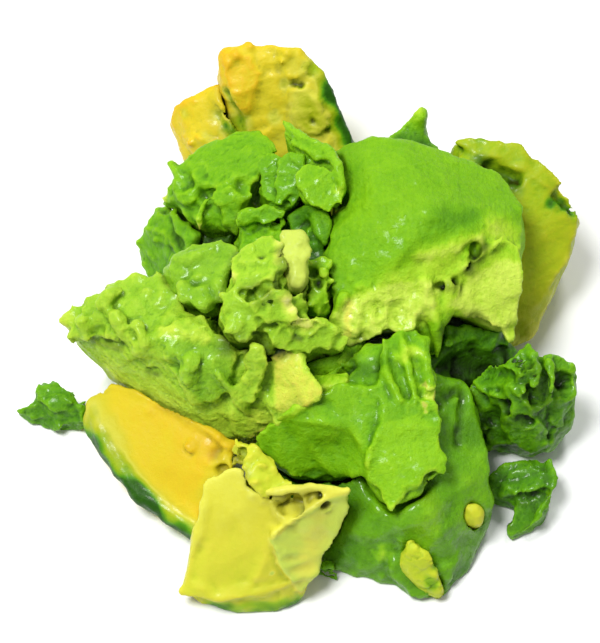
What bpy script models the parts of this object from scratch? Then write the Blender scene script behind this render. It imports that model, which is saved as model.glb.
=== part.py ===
"""The crushed flesh of one large avocado, heaped as it was broken up.

Each chunk is a broken lump of flesh. It is made of one or more convex blocks, and a block is given by
the corners of its broken rim. Chunks press into each other where they meet: the softer or lower one gives
way, and a thin gap is kept between the two. The heap stands on Z = 0. X runs to the right, Y to the back
and Z up.
"""

import math
from dataclasses import dataclass

import bmesh
import bpy
from mathutils import Vector

MM = 0.001

# The whole heap's stretch along each axis, 1 as it was broken up.
HEAP_STRETCH_X = 1.0
HEAP_STRETCH_Y = 1.0
HEAP_STRETCH_Z = 1.0

# Sizes in millimetres.
CONTACT_GAP = 0.45  # kept between two chunks that press on each other
GRAIN = 1.2  # size of the cells that blend a chunk's blocks into one lump
LUMP_SPACING = 9.0  # from one soft lump of the surface to the next
SWELL = 0.6  # how far the surface stands out again after its edges were softened
BELOW_FLOOR = -3.0  # a foot that reaches here is trimmed flat where it stands

# The underside's corners.
UNDERCUT = 0.16  # the most that a corner of an underside is broken away, as a share of its reach
UNDERCUT_TURN = 2.4  # radians from one corner to the next of the wave that sets how much is gone

# The triangles of a chunk's surface.
FEWEST_TRIANGLES = 150  # on the smallest chunk
TRIANGLE_SHARE = 0.045  # of the blended surface's triangles that a large chunk keeps

HEAP_STRETCH = Vector((HEAP_STRETCH_X, HEAP_STRETCH_Y, HEAP_STRETCH_Z))


@dataclass
class Flesh:
    """A finish: its name, colour and roughness."""

    name: str
    color: tuple
    roughness: float


GREEN = Flesh("green_flesh", (0.20, 0.45, 0.02), 0.35)
MASHED = Flesh("mashed_flesh", (0.36, 0.60, 0.04), 0.35)
CURD = Flesh("curd_flesh", (0.45, 0.66, 0.08), 0.45)
PALE = Flesh("pale_flesh", (0.70, 0.74, 0.10), 0.40)
PIT_SIDE = Flesh("pit_side_flesh", (0.70, 0.55, 0.03), 0.40)


@dataclass
class Block:
    """A convex part of a chunk.

    rim holds its upper corners as shares of the chunk's size: across and along from -1 to 1, and up from 0
    to 1. The underside is the rim again, stretched by taper, moved by lean and unevenly broken away. It lies
    at the height foot, or a thickness under the rim where no foot is given. Heights, thickness and lean are
    in millimetres.
    """

    rim: list
    taper: tuple
    lean: tuple
    foot: float = None
    thickness: float = None


@dataclass
class Chunk:
    """One broken lump of flesh.

    place is the middle of its rim and the height of its lowest rim corner, and size is the rim's width,
    depth and height, all in millimetres. lumps is how far its surface rises and sinks, in millimetres, and
    smoothing is how many times its edges are softened.
    """

    name: str
    flesh: Flesh
    place: tuple
    size: tuple
    lumps: float
    smoothing: int
    blocks: list

    def corner(self, share):
        """A rim corner's place from the chunk's own origin, in millimetres."""
        half = Vector((self.size[0] / 2, self.size[1] / 2, self.size[2]))
        return half * Vector(share)


# From the one that keeps its whole shape to the one that gives way to all the others.
CHUNKS = [
    Chunk(
        "pale_finger",
        PALE,
        place=(-2, 0, 47),
        size=(6, 15, 3),
        lumps=0.4,
        smoothing=3,
        blocks=[
            Block(
                rim=[
                    (-0.95, 0.5, 0.65), (-0.15, 1.05, 1.0), (0.9, 1.05, 1.0), (1.2, 0.45, 1.0),
                    (1.15, -0.5, 0.65), (0.6, -0.95, 0.0), (-0.05, -0.85, 0.0),
                    (-0.45, -0.05, 0.65),
                ],
                thickness=6,
                taper=(0.85, 0.85),
                lean=(0, 1),
            ),
        ],
    ),
    Chunk(
        "ragged_flake",
        GREEN,
        place=(3, 31, 41),
        size=(16, 27, 5),
        lumps=0.4,
        smoothing=2,
        blocks=[
            Block(
                rim=[
                    (-0.95, 0.9, 0.0), (-0.7, 0.98, 0.0), (0.05, 0.64, 0.2), (0.8, 0.34, 0.4),
                    (1.0, -0.2, 0.6), (0.7, -0.4, 1.0), (-0.4, 0.0, 0.6), (-0.75, 0.52, 0.0),
                ],
                thickness=6,
                taper=(0.85, 0.85),
                lean=(0, 1),
            ),
            Block(
                rim=[
                    (-0.4, -0.26, 1.0), (0.0, -0.14, 1.0), (0.55, -0.22, 1.0), (1.0, -0.64, 0.2),
                    (0.3, -1.0, 0.2), (-0.3, -0.74, 0.2), (-0.45, -0.56, 0.6),
                ],
                thickness=5,
                taper=(0.85, 0.85),
                lean=(0, 1),
            ),
        ],
    ),
    Chunk(
        "skin_dome",
        GREEN,
        place=(31, 13, 25),
        size=(50, 53, 25),
        lumps=0.5,
        smoothing=4,
        blocks=[
            Block(
                rim=[
                    (-0.86, 1.02, 0.6), (-0.56, 1.0, 0.72), (-0.24, 0.98, 0.76), (0.16, 0.84, 0.72),
                    (0.74, 0.72, 0.56), (1.0, 0.36, 0.52), (1.0, -0.02, 0.36), (0.88, -0.44, 0.32),
                    (-0.98, -0.06, 0.56), (-0.92, -0.64, 0.48), (-0.8, -0.92, 0.36),
                    (-0.42, -0.86, 0.32), (-0.06, -0.68, 0.32), (0.22, -0.54, 0.32),
                    (0.52, -0.5, 0.24), (0.02, -0.02, 1.0), (0.4, -0.1, 0.84), (-0.46, 0.18, 0.92),
                    (-0.46, -0.34, 0.72),
                ],
                foot=BELOW_FLOOR,
                taper=(0.84, 0.84),
                lean=(0, 14),
            ),
            Block(
                rim=[
                    (0.98, -0.06, 0.52), (0.9, -0.4, 0.32), (0.88, -0.62, 0.12),
                    (0.82, -0.72, 0.04), (0.72, -0.68, 0.04), (0.64, -0.6, 0.08),
                    (0.44, -0.6, 0.12), (0.2, -0.56, 0.2), (0.14, -0.4, 0.36), (0.52, -0.22, 0.52),
                ],
                thickness=8,
                taper=(0.8, 0.8),
                lean=(-2, 3),
            ),
            Block(
                rim=[
                    (-0.16, -0.76, 0.32), (-0.08, -0.58, 0.4), (0.04, -0.56, 0.32),
                    (0.14, -0.72, 0.2), (0.14, -0.9, 0.08), (0.06, -1.0, 0.0), (0.0, -0.86, 0.08),
                ],
                thickness=4,
                taper=(0.8, 0.8),
                lean=(0, 1),
            ),
        ],
    ),
    Chunk(
        "curd_clump",
        CURD,
        place=(-5, -6, 36),
        size=(31, 26, 14),
        lumps=1.0,
        smoothing=3,
        blocks=[
            Block(
                rim=[
                    (-0.64, 0.78, 0.7), (-0.46, 0.82, 0.8), (0.0, 1.04, 0.85), (0.32, 0.92, 0.85),
                    (0.42, 0.22, 0.8), (0.5, -0.28, 0.65), (-0.26, -0.82, 0.3), (-0.72, -0.82, 0.3),
                    (-0.98, -0.46, 0.45), (-0.92, -0.1, 0.55), (-0.78, 0.0, 0.65),
                    (-0.22, -0.2, 1.0),
                ],
                thickness=12,
                taper=(0.85, 0.85),
                lean=(0, 2),
            ),
            Block(
                rim=[
                    (0.28, -0.44, 0.45), (0.62, -0.5, 0.45), (1.04, -0.74, 0.05), (0.94, -0.8, 0.0),
                    (0.4, -0.94, 0.0), (0.08, -0.94, 0.05), (-0.2, -0.98, 0.05),
                    (-0.32, -0.72, 0.3), (-0.06, -0.14, 0.55),
                ],
                thickness=9,
                taper=(0.85, 0.85),
                lean=(0, 2),
            ),
        ],
    ),
    Chunk(
        "folded_petal",
        GREEN,
        place=(-5, 28, 38),
        size=(12, 15, 5),
        lumps=0.6,
        smoothing=3,
        blocks=[
            Block(
                rim=[
                    (-1.0, -0.15, 0.2), (-0.75, 0.45, 0.6), (-0.1, 0.95, 1.0), (0.65, 0.95, 1.0),
                    (1.05, -0.05, 0.8), (0.85, -0.7, 0.4), (0.05, -1.0, 0.0), (-0.55, -0.85, 0.0),
                ],
                thickness=11,
                taper=(0.85, 0.85),
                lean=(0, 2),
            ),
        ],
    ),
    Chunk(
        "mashed_lobe",
        MASHED,
        place=(-24, -1, 40),
        size=(20, 16, 4),
        lumps=0.7,
        smoothing=4,
        blocks=[
            Block(
                rim=[
                    (-1.0, 0.55, 0.0), (-0.7, 0.0, 0.25), (-0.55, -0.45, 0.25), (-0.05, -1.0, 0.25),
                    (0.45, -1.0, 0.75), (0.95, -0.5, 1.0), (1.05, 0.45, 1.0), (0.8, 1.05, 0.75),
                    (0.0, 0.55, 0.75),
                ],
                thickness=10,
                taper=(0.85, 0.85),
                lean=(0, 2),
            ),
        ],
    ),
    Chunk(
        "broad_block",
        MASHED,
        place=(-29, -15, 13),
        size=(60, 34, 27),
        lumps=0.8,
        smoothing=3,
        blocks=[
            Block(
                rim=[
                    (-0.98, 0.5, 0.66), (-0.86, 0.64, 0.78), (-0.72, 0.72, 0.86),
                    (-0.5, 0.96, 0.92), (-0.08, 0.98, 0.96), (0.28, 0.76, 1.0), (0.66, 0.06, 1.0),
                    (0.88, -0.2, 0.88), (1.0, -0.48, 0.74), (1.0, -0.68, 0.52), (0.56, -1.0, 0.22),
                    (0.28, -0.98, 0.14), (0.14, -0.72, 0.34), (0.08, -0.58, 0.66),
                    (-0.02, -0.26, 0.88), (-0.28, -0.18, 0.92), (-0.52, 0.12, 0.86),
                    (-0.88, 0.34, 0.62), (-0.9, 0.46, 0.34), (-0.58, 0.06, 0.04), (-0.2, -0.2, 0.0),
                    (0.1, -0.46, 0.0),
                ],
                foot=BELOW_FLOOR,
                taper=(0.8, 0.8),
                lean=(5, 9),
            ),
        ],
    ),
    Chunk(
        "side_fold",
        GREEN,
        place=(5, -1, 37),
        size=(6, 13, 5),
        lumps=0.5,
        smoothing=3,
        blocks=[
            Block(
                rim=[
                    (-1.0, 0.75, 1.0), (0.45, 1.0, 1.0), (0.75, -0.25, 0.6), (0.9, -0.65, 0.0),
                    (0.2, -1.0, 0.0), (-1.2, -0.9, 0.6),
                ],
                thickness=10,
                taper=(0.85, 0.85),
                lean=(0, 2),
            ),
        ],
    ),
    Chunk(
        "upper_lobe",
        GREEN,
        place=(-22, 31, 27),
        size=(31, 24, 12),
        lumps=0.8,
        smoothing=4,
        blocks=[
            Block(
                rim=[
                    (-0.74, 0.6, 0.35), (-0.48, 0.8, 0.4), (-0.16, 0.9, 0.6), (0.58, 1.0, 0.9),
                    (0.94, 1.0, 0.9), (1.02, 0.65, 0.9), (0.8, 0.1, 1.0), (0.7, -0.5, 1.0),
                    (0.58, -0.75, 0.65), (0.4, -1.0, 0.35), (0.16, -0.85, 0.4),
                    (-0.26, -0.75, 0.25), (-0.52, -0.25, 0.35), (-0.68, -0.1, 0.25),
                    (0.12, 0.1, 0.9),
                ],
                foot=BELOW_FLOOR,
                taper=(0.95, 0.95),
                lean=(2, 8),
            ),
            Block(
                rim=[
                    (-0.98, 0.05, 0.1), (-0.88, 0.15, 0.25), (-0.66, 0.25, 0.4),
                    (-0.56, -0.2, 0.25), (-0.92, -0.1, 0.0),
                ],
                thickness=6,
                taper=(0.85, 0.85),
                lean=(0, 2),
            ),
        ],
    ),
    Chunk(
        "small_cube",
        GREEN,
        place=(9, -15, 21),
        size=(16, 12, 10),
        lumps=0.2,
        smoothing=2,
        blocks=[
            Block(
                rim=[
                    (-1.05, -0.55, 0.7), (-0.5, 0.2, 0.9), (0.25, 0.75, 1.0), (0.9, 1.0, 0.9),
                    (0.65, 0.05, 0.8), (0.35, -0.35, 0.7), (0.4, -0.6, 0.1), (-0.65, -0.9, 0.0),
                    (-0.95, -0.55, 0.2),
                ],
                foot=14,
                taper=(0.8, 0.8),
                lean=(0, 2),
            ),
        ],
    ),
    Chunk(
        "front_slab",
        GREEN,
        place=(11, -33, 14),
        size=(47, 42, 20),
        lumps=0.5,
        smoothing=3,
        blocks=[
            Block(
                rim=[
                    (-1.02, -0.02, 0.3), (-0.84, -0.2, 0.1), (-0.58, -0.36, 0.0),
                    (-0.38, -0.38, 0.0), (0.0, -0.42, 0.15), (0.16, -0.36, 0.25), (0.2, -0.16, 0.6),
                    (0.86, 0.08, 0.65), (0.94, 0.28, 0.75), (0.86, 0.54, 0.85), (0.88, 0.92, 0.9),
                    (0.56, 1.0, 1.0), (0.2, 1.0, 0.9), (-0.46, 0.24, 0.85), (-0.78, 0.08, 0.65),
                    (-0.16, -0.08, 0.85),
                ],
                thickness=10,
                taper=(0.86, 0.86),
                lean=(0, 3),
            ),
            Block(
                rim=[
                    (0.16, -0.36, 0.45), (0.2, -0.64, 0.4), (0.36, -0.8, 0.4), (0.46, -0.96, 0.35),
                    (0.56, -0.86, 0.45), (0.7, -0.72, 0.55), (0.96, -0.68, 0.6), (0.98, -0.58, 0.7),
                    (0.88, -0.12, 0.8), (0.54, -0.02, 0.85), (0.2, -0.18, 0.75),
                ],
                thickness=5,
                taper=(0.94, 0.94),
                lean=(0, 1),
            ),
        ],
    ),
    Chunk(
        "torn_strip",
        PALE,
        place=(-10, -44, 25),
        size=(14, 14, 4),
        lumps=0.4,
        smoothing=2,
        blocks=[
            Block(
                rim=[
                    (-0.95, 1.0, 0.5), (-0.25, 0.75, 1.0), (0.3, 0.2, 0.75), (0.75, -0.05, 0.25),
                    (1.05, -0.5, 0.25), (0.8, -1.0, 0.0), (0.4, -0.8, 0.25), (0.0, -0.9, 0.5),
                    (-0.2, -0.5, 0.75), (-0.35, 0.15, 0.75), (-0.7, 0.6, 0.5),
                ],
                thickness=5,
                taper=(0.9, 0.9),
                lean=(0, 1),
            ),
        ],
    ),
    Chunk(
        "pale_block",
        PALE,
        place=(-8, -57, 0),
        size=(40, 26, 28),
        lumps=0.3,
        smoothing=2,
        blocks=[
            Block(
                rim=[
                    (-0.76, 0.76, 0.86), (-0.6, 0.9, 0.96), (-0.26, 0.98, 1.04), (0.02, 0.74, 1.0),
                    (0.2, 0.58, 0.9), (0.4, 0.16, 0.76), (0.54, -0.26, 0.36), (0.44, -0.58, 0.18),
                    (0.28, -0.72, 0.22), (-0.14, -0.72, 0.32), (-0.74, -0.84, 0.28),
                    (-1.02, -0.68, 0.22), (-0.92, -0.16, 0.5), (-0.72, 0.06, 0.64),
                    (-0.62, -0.8, 0.08), (-0.32, -1.0, 0.02), (0.1, -0.98, 0.02),
                    (0.4, -0.72, 0.04),
                ],
                foot=BELOW_FLOOR,
                taper=(0.92, 0.92),
                lean=(0, 0),
            ),
            Block(
                rim=[
                    (0.36, -0.32, 0.5), (0.54, -0.26, 0.32), (0.8, 0.14, 0.58), (1.0, 0.66, 0.86),
                    (0.82, 0.74, 0.92), (0.4, 0.62, 0.92), (0.26, 0.42, 0.9),
                ],
                foot=4,
                taper=(0.85, 0.85),
                lean=(-1, 2),
            ),
        ],
    ),
    Chunk(
        "crumpled_lump",
        GREEN,
        place=(55, -20, 5),
        size=(28, 20, 23),
        lumps=1.0,
        smoothing=3,
        blocks=[
            Block(
                rim=[
                    (-0.74, 0.1, 0.7), (-0.36, 0.5, 0.9), (0.16, 0.95, 0.9), (0.66, 0.85, 0.8),
                    (0.92, 0.45, 0.55), (0.98, -0.2, 0.3), (0.72, -0.5, 0.15), (0.56, -0.9, 0.0),
                    (0.04, -1.0, 0.05), (-0.24, -0.9, 0.3), (-0.52, -0.35, 0.65),
                    (-0.06, -0.5, 1.0),
                ],
                foot=BELOW_FLOOR,
                taper=(0.82, 0.82),
                lean=(0, 2),
            ),
            Block(
                rim=[
                    (-1.02, 0.45, 0.55), (-0.62, 0.35, 0.65), (-0.32, -0.3, 0.5),
                    (-0.16, -0.7, 0.15), (-0.46, -0.8, 0.05), (-0.74, -0.5, 0.25),
                    (-0.96, 0.1, 0.5),
                ],
                foot=BELOW_FLOOR,
                taper=(0.85, 0.85),
                lean=(0, 0),
            ),
        ],
    ),
    Chunk(
        "curled_flake",
        GREEN,
        place=(54, -43, 2),
        size=(15, 18, 9),
        lumps=0.3,
        smoothing=3,
        blocks=[
            Block(
                rim=[
                    (-1.0, 0.8, 0.65), (-0.65, 1.0, 0.9), (0.0, 1.1, 1.0), (0.65, 1.0, 1.0),
                    (0.85, 0.45, 0.9), (0.5, 0.0, 0.55), (-0.15, 0.0, 0.35), (-0.8, 0.15, 0.35),
                    (-1.0, 0.4, 0.45),
                ],
                foot=BELOW_FLOOR,
                taper=(0.9, 0.9),
                lean=(0, 0),
            ),
            Block(
                rim=[
                    (0.5, 0.7, 1.0), (0.75, 1.0, 1.0), (1.05, 0.5, 0.9), (1.05, -0.05, 0.65),
                    (0.85, -0.35, 0.45), (0.3, -0.7, 0.2), (-0.3, -1.0, 0.0), (-0.6, -0.85, 0.0),
                    (-0.55, -0.55, 0.2), (0.15, -0.2, 0.45),
                ],
                foot=BELOW_FLOOR,
                taper=(0.85, 0.85),
                lean=(0, 0),
            ),
        ],
    ),
    Chunk(
        "pale_flake",
        PALE,
        place=(30, -63, 4),
        size=(11, 10, 11),
        lumps=0.2,
        smoothing=2,
        blocks=[
            Block(
                rim=[
                    (-0.75, 1.05, 1.0), (-0.25, 0.6, 1.0), (0.2, 0.35, 0.9), (0.55, -0.2, 0.45),
                    (0.9, -0.9, 0.0), (0.25, -0.55, 0.0), (-0.4, -0.15, 0.25), (-1.0, 0.25, 0.55),
                    (-1.05, 0.55, 0.75),
                ],
                thickness=5,
                taper=(0.9, 0.9),
                lean=(0, 1),
            ),
        ],
    ),
    Chunk(
        "yellow_crumb",
        PALE,
        place=(42, -50, 12),
        size=(4, 3, 4),
        lumps=0.1,
        smoothing=2,
        blocks=[
            Block(
                rim=[
                    (-1.15, 0.7, 0.75), (-0.3, 1.25, 1.0), (0.9, 0.5, 0.75), (0.75, -1.05, 0.0),
                    (-0.25, -0.7, 0.0), (-1.1, 0.05, 0.25),
                ],
                thickness=5,
                taper=(0.9, 0.9),
                lean=(0, 1),
            ),
        ],
    ),
    Chunk(
        "back_wedge",
        PIT_SIDE,
        place=(-3, 62, 18),
        size=(37, 22, 20),
        lumps=0.6,
        smoothing=3,
        blocks=[
            Block(
                rim=[
                    (-1.0, 0.9, 0.9), (-0.9, 1.05, 0.9), (-0.34, 0.9, 0.9), (-0.16, 0.95, 1.0),
                    (0.14, 0.9, 1.0), (0.3, 0.7, 0.95), (0.42, 0.55, 0.9), (0.5, 0.3, 0.75),
                    (0.68, -0.15, 0.45), (0.96, -0.75, 0.15), (0.44, -1.0, 0.1),
                    (-0.16, -0.85, 0.0), (-0.54, -0.45, 0.1), (-0.66, 0.1, 0.45),
                    (-0.96, 0.4, 0.65),
                ],
                foot=BELOW_FLOOR,
                taper=(0.95, 2.0),
                lean=(1, 0),
            ),
        ],
    ),
    Chunk(
        "left_wedge",
        PIT_SIDE,
        place=(-26, 61, 14),
        size=(19, 14, 12),
        lumps=0.6,
        smoothing=3,
        blocks=[
            Block(
                rim=[
                    (-1.0, 0.7, 0.15), (-0.7, 0.75, 0.5), (0.05, 1.1, 0.85), (0.45, 1.0, 1.0),
                    (0.8, 0.85, 1.0), (1.0, 0.1, 0.85), (1.0, -0.5, 0.5), (0.7, -0.9, 0.15),
                    (0.0, -0.95, 0.0), (-0.35, -0.3, 0.0), (-0.5, 0.1, 0.0),
                ],
                foot=BELOW_FLOOR,
                taper=(0.95, 2.5),
                lean=(3, -1),
            ),
        ],
    ),
    Chunk(
        "under_lobe",
        GREEN,
        place=(-9, 16, 35),
        size=(14, 11, 2),
        lumps=0.5,
        smoothing=3,
        blocks=[
            Block(
                rim=[
                    (-0.9, 0.9, 0.0), (0.45, 0.9, 1.0), (0.7, 0.3, 1.0), (1.0, -0.75, 1.0),
                    (-0.05, -1.0, 1.0), (-0.95, -0.9, 0.5),
                ],
                foot=BELOW_FLOOR,
                taper=(0.95, 0.95),
                lean=(0, 2),
            ),
        ],
    ),
    Chunk(
        "left_lump",
        GREEN,
        place=(-33, 24, 8),
        size=(16, 19, 21),
        lumps=0.5,
        smoothing=3,
        blocks=[
            Block(
                rim=[
                    (-0.5, 1.05, 0.65), (-0.85, 0.5, 0.5), (-1.05, 0.25, 0.2), (-0.75, -0.35, 0.0),
                    (0.1, -1.0, 0.5), (0.65, -1.0, 0.75), (0.95, -0.35, 0.95), (0.7, 0.3, 1.0),
                    (0.35, 0.7, 0.9),
                ],
                foot=BELOW_FLOOR,
                taper=(0.95, 0.95),
                lean=(3, 4),
            ),
        ],
    ),
    Chunk(
        "rear_shell",
        PIT_SIDE,
        place=(56, 22, 6),
        size=(32, 49, 28),
        lumps=0.4,
        smoothing=3,
        blocks=[
            Block(
                rim=[
                    (-1.02, 1.0, 0.92), (-0.78, 0.98, 1.0), (-0.28, 0.9, 1.0), (0.12, 0.78, 0.96),
                    (0.5, 0.52, 0.82), (0.8, 0.36, 0.76), (1.0, 0.26, 0.64), (0.84, 0.06, 0.54),
                    (0.76, -0.18, 0.42), (0.56, -0.32, 0.22), (0.24, -0.76, 0.0),
                    (-0.24, -0.98, 0.0), (-0.8, -0.9, 0.18), (-0.96, 0.34, 0.82),
                ],
                foot=BELOW_FLOOR,
                taper=(0.95, 0.95),
                lean=(-2, 10),
            ),
        ],
    ),
    Chunk(
        "back_tip",
        GREEN,
        place=(29, 50, 29),
        size=(15, 12, 6),
        lumps=0.4,
        smoothing=3,
        blocks=[
            Block(
                rim=[
                    (-0.55, 0.2, 0.15), (-0.05, 0.65, 0.85), (0.3, 1.0, 1.0), (0.5, 0.7, 1.0),
                    (0.4, 0.35, 0.85), (0.3, 0.1, 0.35),
                ],
                thickness=10,
                taper=(1.1, 1.2),
                lean=(0, 0),
            ),
            Block(
                rim=[
                    (-1.0, -0.55, 0.15), (-0.55, 0.25, 0.15), (0.3, 0.25, 0.15), (0.7, -0.4, 0.15),
                    (0.95, -0.85, 0.0), (-0.45, -1.05, 0.0),
                ],
                foot=BELOW_FLOOR,
                taper=(1.4, 2.4),
                lean=(0, 1),
            ),
        ],
    ),
    Chunk(
        "pit_wedge",
        PIT_SIDE,
        place=(-36, -36, 5),
        size=(38, 36, 18),
        lumps=0.1,
        smoothing=3,
        blocks=[
            Block(
                rim=[
                    (-0.88, 1.0, 0.5), (-0.66, 1.02, 0.7), (-0.42, 1.02, 0.85), (0.56, 0.52, 1.0),
                    (0.98, 0.1, 0.95), (1.04, -0.06, 0.85), (0.82, -0.36, 0.7), (0.74, -1.02, 0.15),
                    (0.5, -1.0, 0.0), (0.2, -0.76, 0.05), (-0.16, -0.48, 0.1), (-0.44, -0.14, 0.15),
                    (-0.72, 0.22, 0.3), (-0.94, 0.6, 0.2), (-0.98, 0.98, 0.4),
                ],
                foot=BELOW_FLOOR,
                taper=(0.84, 0.84),
                lean=(3, 3),
            ),
        ],
    ),
    Chunk(
        "side_crumb",
        GREEN,
        place=(-63, -16, 1),
        size=(19, 10, 9),
        lumps=0.5,
        smoothing=3,
        blocks=[
            Block(
                rim=[
                    (-0.95, 0.1, 0.2), (-0.6, 0.1, 0.45), (-0.1, 0.25, 0.8), (0.3, 0.3, 0.8),
                    (0.1, -0.65, 0.35), (-0.1, -0.7, 0.1), (-0.6, -0.6, 0.05), (-0.9, -0.15, 0.05),
                ],
                foot=BELOW_FLOOR,
                taper=(0.9, 0.9),
                lean=(0, 0),
            ),
            Block(
                rim=[
                    (-0.4, 1.05, 0.8), (-0.3, 0.85, 0.9), (0.1, 0.65, 1.0), (0.55, 0.25, 1.0),
                    (0.8, -0.2, 0.9), (1.0, -0.6, 0.65), (1.0, -0.95, 0.35), (0.45, -0.8, 0.45),
                    (0.05, -0.65, 0.65), (-0.3, 0.2, 0.8),
                ],
                foot=BELOW_FLOOR,
                taper=(0.85, 0.85),
                lean=(0, 0),
            ),
        ],
    ),
    Chunk(
        "middle_lump",
        GREEN,
        place=(-7, 6, 25),
        size=(38, 48, 15),
        lumps=0.8,
        smoothing=4,
        blocks=[
            Block(
                rim=[
                    (-1.0, 0.54, 0.2), (-0.42, 0.7, 0.6), (0.04, 0.94, 0.75), (0.36, 1.0, 0.95),
                    (0.76, 0.84, 1.0), (0.96, 0.28, 0.85), (0.94, -0.34, 0.6), (1.02, -0.76, 0.15),
                    (0.5, -1.0, 0.0), (-0.28, -0.54, 0.2), (-0.88, 0.08, 0.15),
                ],
                foot=BELOW_FLOOR,
                taper=(0.95, 0.95),
                lean=(0, 3),
            ),
        ],
    ),
    Chunk(
        "ledge_lump",
        GREEN,
        place=(42, -10, 12),
        size=(26, 16, 15),
        lumps=0.6,
        smoothing=4,
        blocks=[
            Block(
                rim=[
                    (-0.96, 0.35, 0.95), (-0.38, 0.75, 1.0), (0.6, 1.0, 0.65), (1.02, 0.6, 0.2),
                    (0.72, -0.45, 0.0), (0.02, -0.85, 0.15), (-0.86, -1.0, 0.55),
                ],
                foot=BELOW_FLOOR,
                taper=(0.95, 0.95),
                lean=(0, 4),
            ),
        ],
    ),
    Chunk(
        "smooth_mound",
        GREEN,
        place=(18, -42, 0),
        size=(59, 50, 25),
        lumps=0.5,
        smoothing=4,
        blocks=[
            Block(
                rim=[
                    (0.14, 0.96, 1.0), (0.46, 1.0, 1.0), (0.76, 1.0, 0.84), (0.86, 0.52, 0.76),
                    (0.94, 0.28, 0.72), (0.92, 0.08, 0.68), (1.0, -0.14, 0.48), (0.92, -0.34, 0.28),
                    (0.84, -0.5, 0.16), (0.8, -0.62, 0.04), (0.7, -0.8, 0.0), (0.54, -0.86, 0.0),
                    (0.22, -0.82, 0.0), (-0.04, -0.76, 0.0), (-0.22, -0.72, 0.0),
                    (-0.38, -0.7, 0.04), (-0.44, -0.6, 0.12), (-0.3, -0.42, 0.4),
                    (-0.32, -0.14, 0.48), (-0.62, 0.18, 0.36), (-0.92, 0.42, 0.44),
                    (-0.98, 0.58, 0.52), (-0.62, 0.9, 0.72), (-0.24, 1.02, 0.8),
                    (0.32, -0.28, 0.88), (0.44, -0.4, 0.8), (0.2, -0.54, 0.68), (0.52, -0.6, 0.56),
                ],
                foot=BELOW_FLOOR,
                taper=(0.98, 0.98),
                lean=(0, 1),
            ),
            Block(
                rim=[
                    (0.2, -0.8, 0.2), (0.46, -0.8, 0.32), (0.64, -0.84, 0.08), (0.58, -0.98, 0.0),
                    (0.42, -0.98, 0.0), (0.26, -0.92, 0.0),
                ],
                foot=BELOW_FLOOR,
                taper=(0.98, 0.98),
                lean=(0, 1),
            ),
        ],
    ),
    Chunk(
        "floor_scrap",
        GREEN,
        place=(7, -60, 0),
        size=(9, 3, 6),
        lumps=0.2,
        smoothing=2,
        blocks=[
            Block(
                rim=[
                    (-1.05, 1.0, 0.65), (-0.2, 1.25, 1.0), (0.35, 0.85, 0.85), (1.0, -0.8, 0.15),
                    (0.05, -0.5, 0.0), (-0.95, -0.65, 0.0),
                ],
                foot=BELOW_FLOOR,
                taper=(0.95, 0.95),
                lean=(0, 0),
            ),
        ],
    ),
]


def clear_scene():
    """Removes whatever the scene holds."""
    for found in list(bpy.data.objects):
        bpy.data.objects.remove(found)


def flesh_material(flesh):
    """The material of a finish, made once."""
    material = bpy.data.materials.get(flesh.name)
    if material:
        return material
    material = bpy.data.materials.new(flesh.name)
    material.use_nodes = True
    shader = material.node_tree.nodes["Principled BSDF"]
    shader.inputs["Base Color"].default_value = (*flesh.color, 1)
    shader.inputs["Roughness"].default_value = flesh.roughness
    shader.inputs["Metallic"].default_value = 0
    return material


def underside(block, rim, chunk):
    """The block's lower corners, under its rim."""
    middle = sum(rim, Vector()) / len(rim)
    stretch, shift = Vector((*block.taper, 1)), Vector((*block.lean, 0))
    lower = []
    for index, corner in enumerate(rim):
        kept = 1 - UNDERCUT * (0.5 + 0.5 * math.sin(index * UNDERCUT_TURN))
        point = middle + (corner - middle) * stretch * kept + shift
        if block.foot is None:
            point.z = corner.z - block.thickness
        else:
            point.z = block.foot - chunk.place[2]
        lower.append(point)
    return lower


def add_block(shape, chunk, block):
    """Adds one block to a bmesh as the convex hull of its corners."""
    rim = [chunk.corner(share) for share in block.rim]
    points = rim + underside(block, rim, chunk)
    corners = [shape.verts.new(point * MM) for point in points]
    hull = bmesh.ops.convex_hull(shape, input=corners)
    spare = set(hull["geom_interior"]) | set(hull["geom_unused"])
    bmesh.ops.delete(shape, geom=[v for v in spare if isinstance(v, bmesh.types.BMVert)], context="VERTS")


def blocks_mesh(chunk):
    """The chunk's blocks in one mesh, still as separate hulls."""
    shape = bmesh.new()
    for block in chunk.blocks:
        add_block(shape, chunk, block)
    bmesh.ops.scale(shape, vec=HEAP_STRETCH, verts=shape.verts[:])
    bmesh.ops.recalc_face_normals(shape, faces=shape.faces[:])
    mesh = bpy.data.meshes.new(chunk.name)
    shape.to_mesh(mesh)
    shape.free()
    return mesh


def lump_texture():
    """Soft lumps that keep a chunk's faces from being flat."""
    texture = bpy.data.textures.get("soft_lumps") or bpy.data.textures.new("soft_lumps", "CLOUDS")
    texture.noise_scale = LUMP_SPACING * MM
    texture.noise_depth = 2
    return texture


def evaluated_mesh(piece):
    """The piece's mesh with its modifiers applied."""
    graph = bpy.context.evaluated_depsgraph_get()
    graph.update()
    return bpy.data.meshes.new_from_object(piece.evaluated_get(graph))


def apply_modifiers(piece):
    """Replaces the piece's mesh with its evaluated one."""
    mesh = evaluated_mesh(piece)
    piece.modifiers.clear()
    piece.data = mesh


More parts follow.
